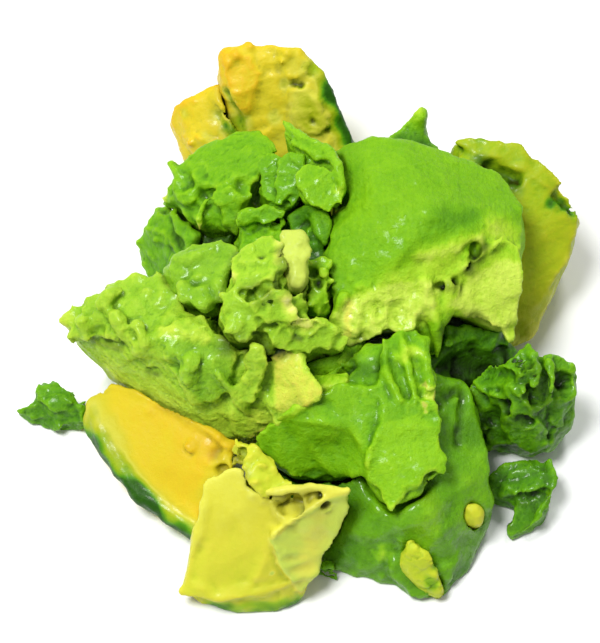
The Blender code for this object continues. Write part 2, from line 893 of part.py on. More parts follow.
def blend_blocks(piece, chunk):
    """Blends the blocks into one lump with soft edges and an uneven surface."""
    remesh = piece.modifiers.new("blend", "REMESH")
    remesh.mode = "VOXEL"
    remesh.voxel_size = GRAIN * MM
    smooth = piece.modifiers.new("soften", "SMOOTH")
    smooth.factor = 0.5
    smooth.iterations = chunk.smoothing
    displace = piece.modifiers.new("lumps", "DISPLACE")
    displace.texture = lump_texture()
    displace.texture_coords = "LOCAL"
    displace.mid_level = 0.5
    displace.strength = 2 * chunk.lumps * MM
    swell = piece.modifiers.new("swell", "DISPLACE")
    swell.mid_level = 0
    swell.strength = SWELL * MM
    apply_modifiers(piece)


def coarsen(piece):
    """Thins out the triangles of a blended lump."""
    blended = 2 * len(piece.data.polygons)
    decimate = piece.modifiers.new("coarsen", "DECIMATE")
    decimate.ratio = min(1, max(TRIANGLE_SHARE, FEWEST_TRIANGLES / blended))
    decimate.use_collapse_triangulate = True
    apply_modifiers(piece)


def trim_at_floor(piece, chunk):
    """Cuts the piece off flat at the height of the floor."""
    floor = Vector((0, 0, -chunk.place[2] * HEAP_STRETCH_Z * MM))
    shape = bmesh.new()
    shape.from_mesh(piece.data)
    everything = shape.verts[:] + shape.edges[:] + shape.faces[:]
    bmesh.ops.bisect_plane(shape, geom=everything, plane_co=floor, plane_no=(0, 0, 1), clear_inner=True)
    rim = [edge for edge in shape.edges if edge.is_boundary]
    if rim:
        bmesh.ops.holes_fill(shape, edges=rim, sides=0)
    shape.to_mesh(piece.data)
    shape.free()


def make_chunk(chunk, heap):
    """One chunk before its neighbours press into it."""
    piece = bpy.data.objects.new(chunk.name, blocks_mesh(chunk))
    bpy.context.scene.collection.objects.link(piece)
    piece.parent = heap
    piece.location = Vector(chunk.place) * HEAP_STRETCH * MM
    blend_blocks(piece, chunk)
    coarsen(piece)
    trim_at_floor(piece, chunk)
    return piece


def make_press(piece):
    """A copy of the piece, grown by the contact gap, that presses its shape into its neighbours."""
    press = bpy.data.objects.new(piece.name + "_press", piece.data.copy())
    bpy.context.scene.collection.objects.link(press)
    press.parent = piece.parent
    press.location = piece.location
    press.hide_render = True
    press.display_type = "WIRE"
    grow = press.modifiers.new("grow", "DISPLACE")
    grow.mid_level = 0
    grow.strength = CONTACT_GAP * MM
    apply_modifiers(press)
    return press


def box_of(piece):
    """The piece's lowest and highest corners in the heap."""
    corners = [piece.location + vertex.co for vertex in piece.data.vertices]
    low = Vector(min(corner[axis] for corner in corners) for axis in range(3))
    high = Vector(max(corner[axis] for corner in corners) for axis in range(3))
    return low, high


def boxes_meet(first, second):
    """Whether two pieces are near enough to touch."""
    (low_a, high_a), (low_b, high_b) = box_of(first), box_of(second)
    return all(low_a[axis] < high_b[axis] and low_b[axis] < high_a[axis] for axis in range(3))


def islands_of(shape):
    """The separate bodies of a bmesh, each as a set of faces."""
    left = set(shape.faces)
    found = []
    while left:
        queue = [left.pop()]
        island = set(queue)
        while queue:
            for edge in queue.pop().edges:
                fresh = [face for face in edge.link_faces if face in left]
                left.difference_update(fresh)
                island.update(fresh)
                queue.extend(fresh)
        found.append(island)
    return found


def keep_main_body(piece):
    """Drops the slivers that a neighbour cut off, and keeps the chunk itself."""
    shape = bmesh.new()
    shape.from_mesh(piece.data)
    islands = islands_of(shape)
    main = max(islands, key=lambda island: sum(face.calc_area() for face in island))
    slivers = [face for island in islands if island is not main for face in island]
    bmesh.ops.delete(shape, geom=slivers, context="FACES")
    shape.to_mesh(piece.data)
    shape.free()


def press_into(piece, presses):
    """Carves the presses' shapes out of the piece."""
    near = [press for press in presses if boxes_meet(piece, press)]
    for press in near:
        carve = piece.modifiers.new(press.name, "BOOLEAN")
        carve.operation = "DIFFERENCE"
        carve.solver = "EXACT"
        carve.object = press
    if near:
        bpy.context.view_layer.update()
        apply_modifiers(piece)
        keep_main_body(piece)


def centre(heap, pieces):
    """Moves the heap so that the middle of its outline is at the origin."""
    boxes = [box_of(piece) for piece in pieces]
    for axis in (0, 1):
        low = min(box[0][axis] for box in boxes)
        high = max(box[1][axis] for box in boxes)
        heap.location[axis] = -(low + high) / 2


def finish(piece, flesh):
    """Shades the piece and gives it its material."""
    piece.data.materials.clear()
    piece.data.materials.append(flesh_material(flesh))
    piece.data.shade_smooth()


def build():
    """Builds the heap, one object for each chunk."""
    clear_scene()
    heap = bpy.data.objects.new("heap", None)
    bpy.context.scene.collection.objects.link(heap)
    pieces, presses = [], []
    for chunk in CHUNKS:
        piece = make_chunk(chunk, heap)
        press = make_press(piece)
        press_into(piece, presses)
        finish(piece, chunk.flesh)
        pieces.append(piece)
        presses.append(press)
    for press in presses:
        bpy.data.objects.remove(press)
    centre(heap, pieces)


build()
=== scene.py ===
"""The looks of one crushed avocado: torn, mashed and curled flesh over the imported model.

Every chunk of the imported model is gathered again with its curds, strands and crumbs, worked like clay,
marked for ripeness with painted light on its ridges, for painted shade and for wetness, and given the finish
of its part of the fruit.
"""

import logging
import math
from dataclasses import dataclass, field
from enum import Enum
from itertools import product
from typing import Any, Iterator, Optional, Sequence

import bmesh
import bpy
import numpy as np
from mathutils import Euler, Matrix, Vector
from mathutils.bvhtree import BVHTree


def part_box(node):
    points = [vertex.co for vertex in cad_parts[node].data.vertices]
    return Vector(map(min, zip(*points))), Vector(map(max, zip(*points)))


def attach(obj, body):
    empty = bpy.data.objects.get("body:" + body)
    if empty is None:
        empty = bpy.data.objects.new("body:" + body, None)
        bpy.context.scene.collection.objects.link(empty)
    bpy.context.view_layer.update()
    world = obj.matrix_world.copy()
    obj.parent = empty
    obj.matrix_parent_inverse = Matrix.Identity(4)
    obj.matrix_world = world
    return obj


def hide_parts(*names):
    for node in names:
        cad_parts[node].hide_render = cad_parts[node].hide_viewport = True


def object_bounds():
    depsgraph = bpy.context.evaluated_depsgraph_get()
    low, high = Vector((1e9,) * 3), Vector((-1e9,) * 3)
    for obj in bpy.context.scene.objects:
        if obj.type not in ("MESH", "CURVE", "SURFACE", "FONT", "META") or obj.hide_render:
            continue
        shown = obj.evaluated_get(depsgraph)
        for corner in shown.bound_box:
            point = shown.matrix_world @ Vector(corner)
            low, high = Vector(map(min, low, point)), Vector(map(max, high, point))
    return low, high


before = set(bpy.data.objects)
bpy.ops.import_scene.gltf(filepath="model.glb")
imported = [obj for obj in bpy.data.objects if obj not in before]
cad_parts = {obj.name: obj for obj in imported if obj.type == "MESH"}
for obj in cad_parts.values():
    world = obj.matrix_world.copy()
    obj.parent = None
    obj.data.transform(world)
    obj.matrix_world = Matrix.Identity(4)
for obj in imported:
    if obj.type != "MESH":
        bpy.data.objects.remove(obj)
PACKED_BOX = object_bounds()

LOG = logging.getLogger("avocado")
MM = 0.001
BODY = "root"
FIRST_SEED = 12
FACING = (0.0, -0.5, 0.87)          # the way that most of the torn faces look

# In millimetres, except the last two.
BOX_MARGIN = 1.8                    # how far flesh may stand past the heap's box at its sides
TOP_MARGIN = 0.7 * BOX_MARGIN
DOUBLES = 0.001                     # corners this close are one
SEAM_REACH = 2.5                    # skin this near to another chunk gets flakes
CONTACT_REACH = 2.2                 # and this near it gets painted shade
TONGUE, FINE_TONGUE = 2.6, 1.3      # how wide the tongues of a torn edge are
COARSE = 1.15                       # the first skin's faces against the last one's
FINE_FRAY = 0.2                     # and the share of the fraying that comes last

Share = tuple[float, float, float]
Shares = Sequence[Share]
Array = np.ndarray


# ---- Patterns in space ----


class Noise:
    """Random values over space that are the same on every run."""

    TABLE = 256
    GAIN = 1.7
    FAR = 9.0
    APART = 17.3
    CHIP_HEIGHT = 1.6
    CHIP_TILT = 1.1

    def __init__(self, seed: int) -> None:
        """Draws the tables.

        Args:
            seed: Which set of tables to draw.
        """
        draws = np.random.default_rng(seed)
        self.order = draws.permutation(self.TABLE)
        turns = draws.normal(size=(self.TABLE, 3))
        self.slopes = turns / np.linalg.norm(turns, axis=1, keepdims=True)
        self.places = draws.random((self.TABLE, 3))

    def _pick(self, cells: Array) -> Array:
        """Table index of each cell.

        Args:
            cells: Whole numbers along x, y and z.

        Returns:
            An index for each cell.
        """
        last = self.TABLE - 1
        mixed = self.order[cells[:, 0] & last]
        mixed = self.order[(mixed + cells[:, 1]) & last]
        return self.order[(mixed + cells[:, 2]) & last]

    def swell(self, points: Array) -> Array:
        """Soft hills and dips, about -1 to 1.

        Args:
            points: Places, in feature widths.

        Returns:
            One value a point.
        """
        base = np.floor(points).astype(np.int64)
        inside = points - base
        ease = inside**3 * (inside * (inside * 6 - 15) + 10)
        total = np.zeros(len(points))
        for corner in product((0, 1), repeat=3):
            slope = self.slopes[self._pick(base + corner)]
            weight = np.prod(np.where(corner, ease, 1 - ease), axis=1)
            total += ((inside - corner) * slope).sum(1) * weight
        return total * self.GAIN

    def shift(self, points: Array) -> Array:
        """Three soft values a point, to bend a pattern with."""
        return np.stack([self.swell(points + self.APART * k) for k in range(3)], axis=1)

    def chips(self, points: Array) -> Array:
        """Flat chips round scattered seeds, each at its own height and tilt, about -1 to 1.

        Args:
            points: Places, in feature widths.

        Returns:
            One value a point.
        """
        base = np.floor(points).astype(np.int64)
        near = np.full(len(points), self.FAR)
        height = np.zeros(len(points))
        for step in product((-1, 0, 1), repeat=3):
            cell = base + step
            pick = self._pick(cell)
            away = points - cell - self.places[pick]
            gap = np.linalg.norm(away, axis=1)
            level = self.places[pick, 0] * self.CHIP_HEIGHT - self.CHIP_HEIGHT / 2
            tilted = level + (away * self.slopes[pick]).sum(1) * self.CHIP_TILT
            height = np.where(gap < near, tilted, height)
            near = np.minimum(near, gap)
        return height


class Pattern(Enum):
    """How a surface is broken up."""

    CHIP = "flat chips that tilt each its own way"
    SWELL = "soft hills"
    RIDGE = "sharp torn ridges"


class Where(Enum):
    """Which part of a surface a pattern is laid on."""

    ALL = "everywhere"
    TOPS = "on faces that look up"
    WALLS = "on steep faces"


@dataclass(frozen=True)
class Texture:
    """One pattern pressed into the flesh.

    The pitch is the width of a feature along x, y and z in millimetres, before the turn in degrees.
    """

    pattern: Pattern
    pitch: Share
    height: float
    where: Where = Where.ALL
    turn: Share = (0, 0, 0)
    warp: float = 0.35
    around: Optional[Share] = None
    reach: float = 0.0

    def relief(self, noise: Noise, points: Array) -> Array:
        """The pattern's height at each point, about -1 to 1.

        Args:
            noise: Where its random values come from.
            points: Places in millimetres.

        Returns:
            One value a point.
        """
        turned = points @ np.array(Euler([math.radians(a) for a in self.turn]).to_matrix())
        at = turned / np.array(self.pitch)
        at = at + self.warp * noise.shift(at * 0.6 + 5.1)
        if self.pattern is Pattern.CHIP:
            return noise.chips(at)
        if self.pattern is Pattern.RIDGE:
            return 0.7 - np.abs(noise.swell(at)) * 2.4
        return noise.swell(at)


@dataclass(frozen=True)
class Dab:
    """One touch of the hand: flesh lifted or pressed, and how it is marked there.

    The place is a share of the chunk's box. With an end given, the touch is a stroke. Its shade is
    mostly painted shade in pits, recesses and under hems; on a few dabs it browns the flesh.
    """

    at: Share
    reach: float
    lift: float = 0.0
    ripe: float = 0.0
    shade: float = 0.0
    wet: float = 0.0
    to: Optional[Share] = None
    rough: float = 0.3


@dataclass(frozen=True)
class Plate:
    """A torn layer that stands out of the flesh, or lies in it, with a crisp ragged edge.

    The outline runs round its edge in percent of the chunk's box. Depth is how far from the outline's own
    plane the flesh still belongs to it.
    """

    outline: tuple[Share, ...]
    height: float = 0.0
    ripe: float = 0.0
    wet: float = 0.0
    soft: float = 0.7
    jag: float = 0.5
    depth: float = 7.0


@dataclass(frozen=True)
class Leaf:
    """A thin torn flake of its own thickness, given by its outline."""

    outline: tuple[Share, ...]
    thick: float
    jag: float = 0.3


class Bit(Enum):
    """The form of a crumb."""

    CURD = "rounded"
    FLAKE = "thin and torn"


@dataclass(frozen=True)
class Strand:
    """Flesh drawn out along a path, as balls whose girth runs from the first to the last value."""

    path: tuple[Share, ...]
    girth: tuple[float, ...]


@dataclass(frozen=True)
class Crumbs:
    """Small curds and flakes stuck on a surface.

    They lie within reach of a place or a stroke where one is given, on faces that look up more than over.
    Their radius runs from the first size to the second, in millimetres.
    """

    FLATNESS = 0.6
    STAND = 0.2
    SIDES = (4, 8)
    DENT = 0.16

    count: int
    size: tuple[float, float]
    lean: float = 0.6
    over: float = -0.2
    around: Optional[Share] = None
    to: Optional[Share] = None
    reach: float = 0.0
    bit: Bit = Bit.CURD


@dataclass(frozen=True)
class Box:
    """A chunk's box: its lowest corner and its size, in millimetres."""

    low: Array
    size: Array

    @classmethod
    def of(cls, node: str) -> "Box":
        """The box of a packed chunk."""
        low, high = (np.array(corner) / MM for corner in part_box(node))
        return cls(low, high - low)

    def place(self, share: Share) -> Array:
        """The point at a share of the box, in percent along x, y and z."""
        return self.low + np.array(share) / 100 * self.size


def gap_to_outline(flat: Array, rim: Array) -> Array:
    """Distance of each point inside an outline from its edge, below 0 outside.

    Args:
        flat: Points on the outline's plane.
        rim: The outline's corners there, in order.

    Returns:
        One distance a point.
    """
    inside = np.zeros(len(flat), bool)
    gap = np.full(len(flat), 1e9)
    for start, end in zip(rim, np.roll(rim, -1, axis=0)):
        gap = np.minimum(gap, gap_to_stroke(flat, start, end))
        spans = (start[1] > flat[:, 1]) != (end[1] > flat[:, 1])
        rise = end[1] - start[1] or 1e-9
        crossing = start[0] + (flat[:, 1] - start[1]) * (end[0] - start[0]) / rise
        inside ^= spans & (flat[:, 0] < crossing)
    return np.where(inside, gap, -gap)


def gap_to_stroke(points: Array, start: Array, end: Array) -> Array:
    """Distance of each point from a straight stroke.

    Args:
        points: Places in millimetres.
        start: One end.
        end: The other end, which may be the same.

    Returns:
        One distance a point.
    """
    along = end - start
    squared = float(along @ along)
    share = np.clip((points - start) @ along / squared, 0, 1) if squared > 1e-6 else np.zeros(len(points))
    return np.linalg.norm(points - start - share[:, None] * along, axis=1)


def fade(gap: Array, reach: float) -> Array:
    """1 at no distance, falling smoothly to 0 at reach."""
    return np.clip(1 - (gap / reach) ** 2, 0, 1) ** 2


# ---- Working a mesh like clay ----


class Mark(Enum):
    """What the flesh is marked with, point by point, for its finish to read."""

    # depth under the skin, with painted light on ridges and painted shade in hollows added
    RIPE = "ripe"
    # mostly painted shade in creases, pits, seams and under hems; a few dabs use it to brown the flesh
    SHADE = "shade"
    WET = "wet"


class Clay:
    """A chunk's mesh while it is worked. Its points are in millimetres."""

    KEPT = 0.4
    CELL = 1.1

    def __init__(self, mesh: bpy.types.Mesh, box: Box, noise: Noise) -> None:
        """Reads a mesh.

        Args:
            mesh: The mesh to work, in metres.
            box: The chunk's box.
            noise: The chunk's own random values.
        """
        self.mesh = mesh
        self.box = box
        self.noise = noise
        count = len(mesh.vertices)
        flat = np.empty(count * 3, np.float32)
        mesh.vertices.foreach_get("co", flat)
        self.points = flat.reshape(-1, 3).astype(float) / MM
        edges = np.empty(len(mesh.edges) * 2, np.int32)
        mesh.edges.foreach_get("vertices", edges)
        self.starts, self.ends = edges.reshape(-1, 2).T
        self.degree = np.bincount(np.concatenate((self.starts, self.ends)), minlength=count)

    def nearest(self, share: Share) -> Array:
        """The surface point nearest to a share of the chunk's box."""
        return self.points[np.argmin(((self.points - self.box.place(share)) ** 2).sum(1))]

    def store(self) -> None:
        """Writes the points back to the mesh."""
        self.mesh.vertices.foreach_set("co", (self.points * MM).astype(np.float32).ravel())
        self.mesh.update()

    def normals(self) -> Array:
        """Outward direction at each point."""
        self.store()
        found = np.empty(len(self.points) * 3, np.float32)
        self.mesh.vertex_normals.foreach_get("vector", found)
        return found.reshape(-1, 3).astype(float)

    def averaged(self, values: Array, rounds: int) -> Array:
        """Values blurred over the surface.

        Args:
            values: One row a point.
            rounds: How many times each point takes on its neighbours' mean.

        Returns:
            The blurred rows.
        """
        count = len(self.points)
        rows = values.reshape(count, -1)
        for _ in range(rounds):
            sums = []
            for column in rows.T:
                ahead = np.bincount(self.starts, column[self.ends], count)
                sums.append(ahead + np.bincount(self.ends, column[self.starts], count))
            mean = np.stack(sums, axis=1) / self.degree[:, None]
            rows = self.KEPT * rows + (1 - self.KEPT) * mean
        return rows.reshape(values.shape)

    def relax(self, rounds: int) -> None:
        """Softens the whole shape."""
        if rounds:
            self.points = self.averaged(self.points, rounds)

    def bulge(self, rounds: int) -> Array:
        """How far each point stands out of its smoothed surroundings, in millimetres."""
        return ((self.points - self.averaged(self.points, rounds)) * self.normals()).sum(1)

    def mask(self, where: Where, up: Array) -> Array:
        """How much each point belongs to a part of the surface.

        Args:
            where: The part.
            up: The outward direction's upward share at each point.

        Returns:
            0 to 1 a point.
        """
        if where is Where.TOPS:
            return np.clip((up - 0.2) / 0.4, 0, 1)
        if where is Where.WALLS:
            return np.clip((0.7 - np.abs(up)) / 0.3, 0, 1)
        return np.ones(len(self.points))

    def lay(self, texture: Texture) -> None:
        """Presses one pattern into the surface.

        Args:
            texture: The pattern, its size and its place.
        """
        normals = self.normals()
        amount = self.mask(texture.where, normals[:, 2]) * texture.height
        if texture.around is not None:
            gap = np.linalg.norm(self.points - self.box.place(texture.around), axis=1)
            amount = amount * fade(gap, texture.reach)
        self.points += normals * (amount * texture.relief(self.noise, self.points))[:, None]

    def weight(self, dab: Dab, extra: float = 0.0) -> Array:
        """How strongly each point feels a dab.

        Args:
            dab: The touch of the hand.
            extra: Added to its reach, in millimetres.

        Returns:
            0 to 1 a point.
        """
        start = self.nearest(dab.at)
        end = start if dab.to is None else self.nearest(dab.to)
        reach = dab.reach + extra
        gap = gap_to_stroke(self.points, start, end)
        near = gap < 1.6 * reach
        gap[near] += dab.rough * reach * self.noise.swell(self.points[near] / max(0.8 * reach, 1.2) + 3.7)
        return fade(np.maximum(gap, 0), reach)

    def press(self, dab: Dab) -> None:
        """Lifts or presses the flesh where a dab says."""
        if dab.lift:
            self.points += self.normals() * (self.weight(dab) * dab.lift)[:, None]

    def plane(self, outline: Shares) -> tuple[Array, Array, Array]:
        """The plane that an outline lies in.

        Args:
            outline: Its corners, as shares of the box.

        Returns:
            The corners, their middle, and the plane's two directions and its outward one as rows.
        """
        corners = np.array([self.box.place(share) for share in outline])
        middle = corners.mean(0)
        axes = np.linalg.svd(corners - middle)[2]
        if axes[2] @ FACING < 0:
            axes[2] *= -1
        return corners, middle, axes

    def cover(self, plate: Plate, soft: float) -> Array:
        """How much each point belongs to a plate.

        Args:
            plate: The torn layer.
            soft: How wide its edge is, in millimetres.

        Returns:
            0 to 1 a point.
        """
        corners, middle, axes = self.plane(plate.outline)
        away = np.abs((self.points - middle) @ axes[2])
        near = np.nonzero((away < plate.depth) & (self.normals() @ axes[2] > -0.2))[0]
        flat = (self.points[near] - middle) @ axes[:2].T
        gap = gap_to_outline(flat, (corners - middle) @ axes[:2].T)
        torn = self.noise.swell(self.points[near] / 1.6) + 0.8 * self.noise.swell(self.points[near] / 3.9)
        gap += plate.jag * torn
        felt = np.zeros(len(self.points))
        felt[near] = np.clip(gap / soft + 0.5, 0, 1) * np.clip((plate.depth - away[near]) / 1.5, 0, 1)
        return felt

    def raise_plate(self, plate: Plate) -> None:
        """Lifts or sinks the flesh of a plate along the direction that it faces.

        Args:
            plate: Its outline and how far it moves.
        """
        if plate.height:
            out = self.plane(plate.outline)[2][2]
            self.points += (self.cover(plate, plate.soft) * plate.height)[:, None] * out

    def undercut(self, lip: float, deep: float) -> None:
        """Eats the steep faces away below their top edge, so that a torn lip hangs over them.

        Args:
            lip: How thick the lip is, in millimetres.
            deep: How far the faces go in, in millimetres.
        """
        across = np.floor((self.points[:, :2] - self.points[:, :2].min(0)) / self.CELL).astype(int) + 2
        top = np.full(across.max(0) + 3, -1e9)
        np.maximum.at(top, tuple(across.T), self.points[:, 2])
        for _ in range(2):
            shifted = [np.roll(top, step, axis) for axis in (0, 1) for step in (-1, 1)]
            top = np.max([top, *shifted], axis=0)
        depth = top[tuple(across.T)] - self.points[:, 2]
        normals = self.normals()
        edge = lip * (1 + 0.6 * self.noise.swell(self.points / 4.5 + 1.9))
        amount = np.clip((0.8 - normals[:, 2]) / 0.3, 0, 1) * np.clip((depth - edge) / 0.7, 0, 1)
        amount *= np.clip((8.5 * lip - depth) / (5 * lip), 0, 1)
        amount *= np.clip(0.65 + 0.9 * self.noise.swell(self.points / 6.5 + 7.7), 0, 1.3)
        self.points -= normals * (amount * deep)[:, None]

    def fray(self, height: float, pitch: float) -> None:
        """Tears the edges into short tongues and notches.

        Args:
            height: How far they go, in millimetres.
            pitch: Their width, in millimetres.
        """
        edge = np.clip(self.bulge(10) / 0.22, 0, 1)
        outward = self.points - (self.box.low + self.box.size / 2)
        outward /= np.linalg.norm(outward, axis=1, keepdims=True) + 1e-9
        tongue = np.clip(self.noise.chips(self.points / pitch), -1, 1)
        self.points += outward * (edge * height * tongue)[:, None]


def remeshed(mesh: bpy.types.Mesh, voxel: float) -> bpy.types.Mesh:
    """One closed skin of even faces round everything in a mesh.

    Args:
        mesh: Closed shapes, which may run into each other. It is removed.
        voxel: The width of a face, in millimetres.

    Returns:
        The new mesh.
    """
    holder = bpy.data.objects.new("being_worked", mesh)
    bpy.context.scene.collection.objects.link(holder)
    remesh = holder.modifiers.new("skin", "REMESH")
    remesh.mode = "VOXEL"
    remesh.voxel_size = voxel * MM
    graph = bpy.context.evaluated_depsgraph_get()
    made = bpy.data.meshes.new_from_object(holder.evaluated_get(graph))
    bpy.data.objects.remove(holder)
    bpy.data.meshes.remove(mesh)
    return made


def largest_body(mesh: bpy.types.Mesh) -> bpy.types.Mesh:
    """Drops crumbs that hang free of the main body.

    Args:
        mesh: The mesh to clean, in place.

    Returns:
        The same mesh.
    """
    form = bmesh.new()
    form.from_mesh(mesh)
    left = set(form.verts)
    bodies = []
    while left:
        seed = left.pop()
        body, todo = [seed], [seed]
        while todo:
            for edge in todo.pop().link_edges:
                for vert in edge.verts:
                    if vert in left:
                        left.remove(vert)
                        body.append(vert)
                        todo.append(vert)
        bodies.append(body)
    bodies.sort(key=len)
    loose = [vert for body in bodies[:-1] for vert in body]
    if loose:
        bmesh.ops.delete(form, geom=loose, context="VERTS")
        form.to_mesh(mesh)
    form.free()
    return mesh


# ---- Materials ----


def linear(colour: Share) -> tuple[float, float, float, float]:
    """A screen colour, 0 to 255 a channel, as linear light with full cover.

    Args:
        colour: Red, green and blue.

    Returns:
        Their light and an alpha of 1.
    """
    shares = [c / 255 for c in colour]
    light = [s / 12.92 if s <= 0.04045 else ((s + 0.055) / 1.055) ** 2.4 for s in shares]
    return light[0], light[1], light[2], 1.0


class Wire:
    """A shader socket that works in Python expressions."""

    def __init__(self, board: "Board", socket: bpy.types.NodeSocket) -> None:
        """Keeps the socket and the board that it is on."""
        self.board = board
        self.socket = socket

    def _maths(self, operation: str, first: Any, second: Any = 0.0, clamp: bool = False) -> "Wire":
        """Adds one Math node over two values or wires."""
        settings = {"operation": operation, "use_clamp": clamp}
        return self.board.node("ShaderNodeMath", settings, {0: first, 1: second})

    def __add__(self, other: Any) -> "Wire":
        """self + other."""
        return self._maths("ADD", self, other)

    def __radd__(self, other: Any) -> "Wire":
        """other + self."""
        return self._maths("ADD", other, self)

    def __sub__(self, other: Any) -> "Wire":
        """self - other."""
        return self._maths("SUBTRACT", self, other)

    def __rsub__(self, other: Any) -> "Wire":
        """other - self."""
        return self._maths("SUBTRACT", other, self)

    def __mul__(self, other: Any) -> "Wire":
        """self * other."""
        return self._maths("MULTIPLY", self, other)

    def __rmul__(self, other: Any) -> "Wire":
        """other * self."""
        return self._maths("MULTIPLY", other, self)

    def clipped(self) -> "Wire":
        """Kept between 0 and 1."""
        return self._maths("ADD", self, 0.0, clamp=True)


class Board:
    """The node tree of one material while it is wired."""

    def __init__(self, name: str) -> None:
        """Starts a material with an empty tree.

        Args:
            name: The material's name.
        """
        self.material = bpy.data.materials.new(name)
        self.material.use_nodes = True
        self.tree = self.material.node_tree
        self.tree.nodes.clear()

    def node(self, kind: str, settings: dict[str, Any], sockets: dict[Any, Any], out: Any = 0) -> Wire:
        """Adds a node.

        Args:
            kind: Its type.
            settings: What is set on it first. A ramp's stops are pairs of place and colour.
            sockets: Values or wires of its inputs, by name or number.
            out: Which output the wire is for.

        Returns:
            That output as a wire.
        """
        made = self.tree.nodes.new(kind)
        for key, value in settings.items():
            if key == "stops":
                self._set_stops(made.color_ramp, value)
            else:
                setattr(made, key, value)
        for key, value in sockets.items():
            if isinstance(value, Wire):
                self.tree.links.new(value.socket, made.inputs[key])
            else:
                made.inputs[key].default_value = value
        return Wire(self, made.outputs[out])

    @staticmethod
    def _set_stops(ramp: bpy.types.ColorRamp, stops: Sequence[tuple[float, tuple]]) -> None:
        """Gives a ramp its stops.

        Args:
            ramp: The ramp.
            stops: Pairs of place and colour.
        """
        while len(ramp.elements) > 1:
            ramp.elements.remove(ramp.elements[-1])
        ramp.elements[0].position = stops[0][0]
        ramp.elements[0].color = stops[0][1]
        for place, colour in stops[1:]:
            ramp.elements.new(place).color = colour

    def mark(self, mark: Mark) -> Wire:
        """One of the flesh's marks."""
        return self.node("ShaderNodeAttribute", {"attribute_name": mark.value}, {}, "Fac")

    def noise(self, where: Wire, scale: float, detail: float = 3.0, rough: float = 0.55,
              bend: float = 0.0) -> Wire:
        """A noise of 0 to 1 over space, with scale features a metre."""
        sockets = {"Vector": where, "Scale": scale, "Detail": detail, "Roughness": rough, "Distortion": bend}
        return self.node("ShaderNodeTexNoise", {}, sockets)

    def mixed(self, share: Any, first: Any, second: Any) -> Wire:
        """Two colours mixed by a share."""
        return self.node("ShaderNodeMix", {"data_type": "RGBA"}, {0: share, 6: first, 7: second}, 2)

    def ended(self, shader: Wire) -> bpy.types.Material:
        """Ends the tree in a shader.

        Args:
            shader: What the surface shows.

        Returns:
            The material.
        """
        end = self.tree.nodes.new("ShaderNodeOutputMaterial")
        self.tree.links.new(shader.socket, end.inputs["Surface"])
        return self.material


@dataclass(frozen=True)
class Flesh:
    """One finish: how the fruit's flesh looks at one depth under its skin.

    The stops run from the skin side to the pit side. The dark colour is mixed in by the shade mark, mostly
    as painted shade in its creases, pits and seams.
    """

    slot: str
    stops: tuple[tuple[float, tuple[int, int, int]], ...]
    dark: tuple[int, int, int]
    mottle: float
    speckle: float
    roughness: float
    coat: float
    grain: float
    fibre: float
    glow: float = 0.12
    tone: float = 0.97

    LIGHT_REACH = (1.0, 0.9, 0.25)

    def toned_stops(self) -> list[tuple[float, tuple]]:
        """The ramp's stops as linear light, each a little under its full tone."""
        return [(place, linear(tuple(part * self.tone for part in colour))) for place, colour in self.stops]

    def material(self) -> bpy.types.Material:
        """Wires the finish.

        Returns:
            Its material.
        """
        board = Board(self.slot)
        where = board.node("ShaderNodeTexCoord", {}, {}, "Object")
        blotch = board.noise(where, 140, 4, 0.6, 0.6) - 0.5
        fleck = board.noise(where, 900, 3, 0.6) - 0.5
        drawn = board.node("ShaderNodeMapping", {}, {"Vector": where, "Scale": (1.0, 0.16, 0.5)})
        strand = board.noise(drawn, 1100, 2, 0.5) - 0.5
        ripe = board.mark(Mark.RIPE) + blotch * self.mottle + fleck * self.speckle + strand * self.fibre
        flesh = board.node("ShaderNodeValToRGB", {"stops": self.toned_stops()}, {"Fac": ripe})
        # painted shade: the shade mark mixes the dark colour into the flesh
        shade = (board.mark(Mark.SHADE) + blotch * 0.25 * board.mark(Mark.SHADE)).clipped()
        colour = board.mixed(shade, flesh, linear(self.dark))
        wet = board.mark(Mark.WET)
        damp = board.noise(where, 420, 3, 0.6, 0.4)
        film = (wet + (damp - 0.58) * 3.0).clipped()
        rough = (self.roughness + fleck * 0.25 - film * 0.2).clipped()
        fine = board.noise(where, 2600, 3, 0.65)
        height = board.noise(where, 700, 5, 0.62, 0.3) + fine * 0.4 + strand * (2.0 * self.fibre + 0.15)
        relief = {"Strength": 1.0, "Distance": self.grain * MM, "Height": height}
        bump = board.node("ShaderNodeBump", {}, relief)
        shader = board.node("ShaderNodeBsdfPrincipled", {"subsurface_method": "RANDOM_WALK"}, {
            "Base Color": colour,
            "Roughness": rough,
            "IOR": 1.42,
            "Specular IOR Level": 0.2,
            "Subsurface Weight": self.glow,
            "Subsurface Radius": self.LIGHT_REACH,
            "Subsurface Scale": 1.6 * MM,
            "Coat Weight": film * self.coat,
            "Coat Roughness": 0.16,
            "Normal": bump,
        })
        return board.ended(shader)


# ---- Chunks ----


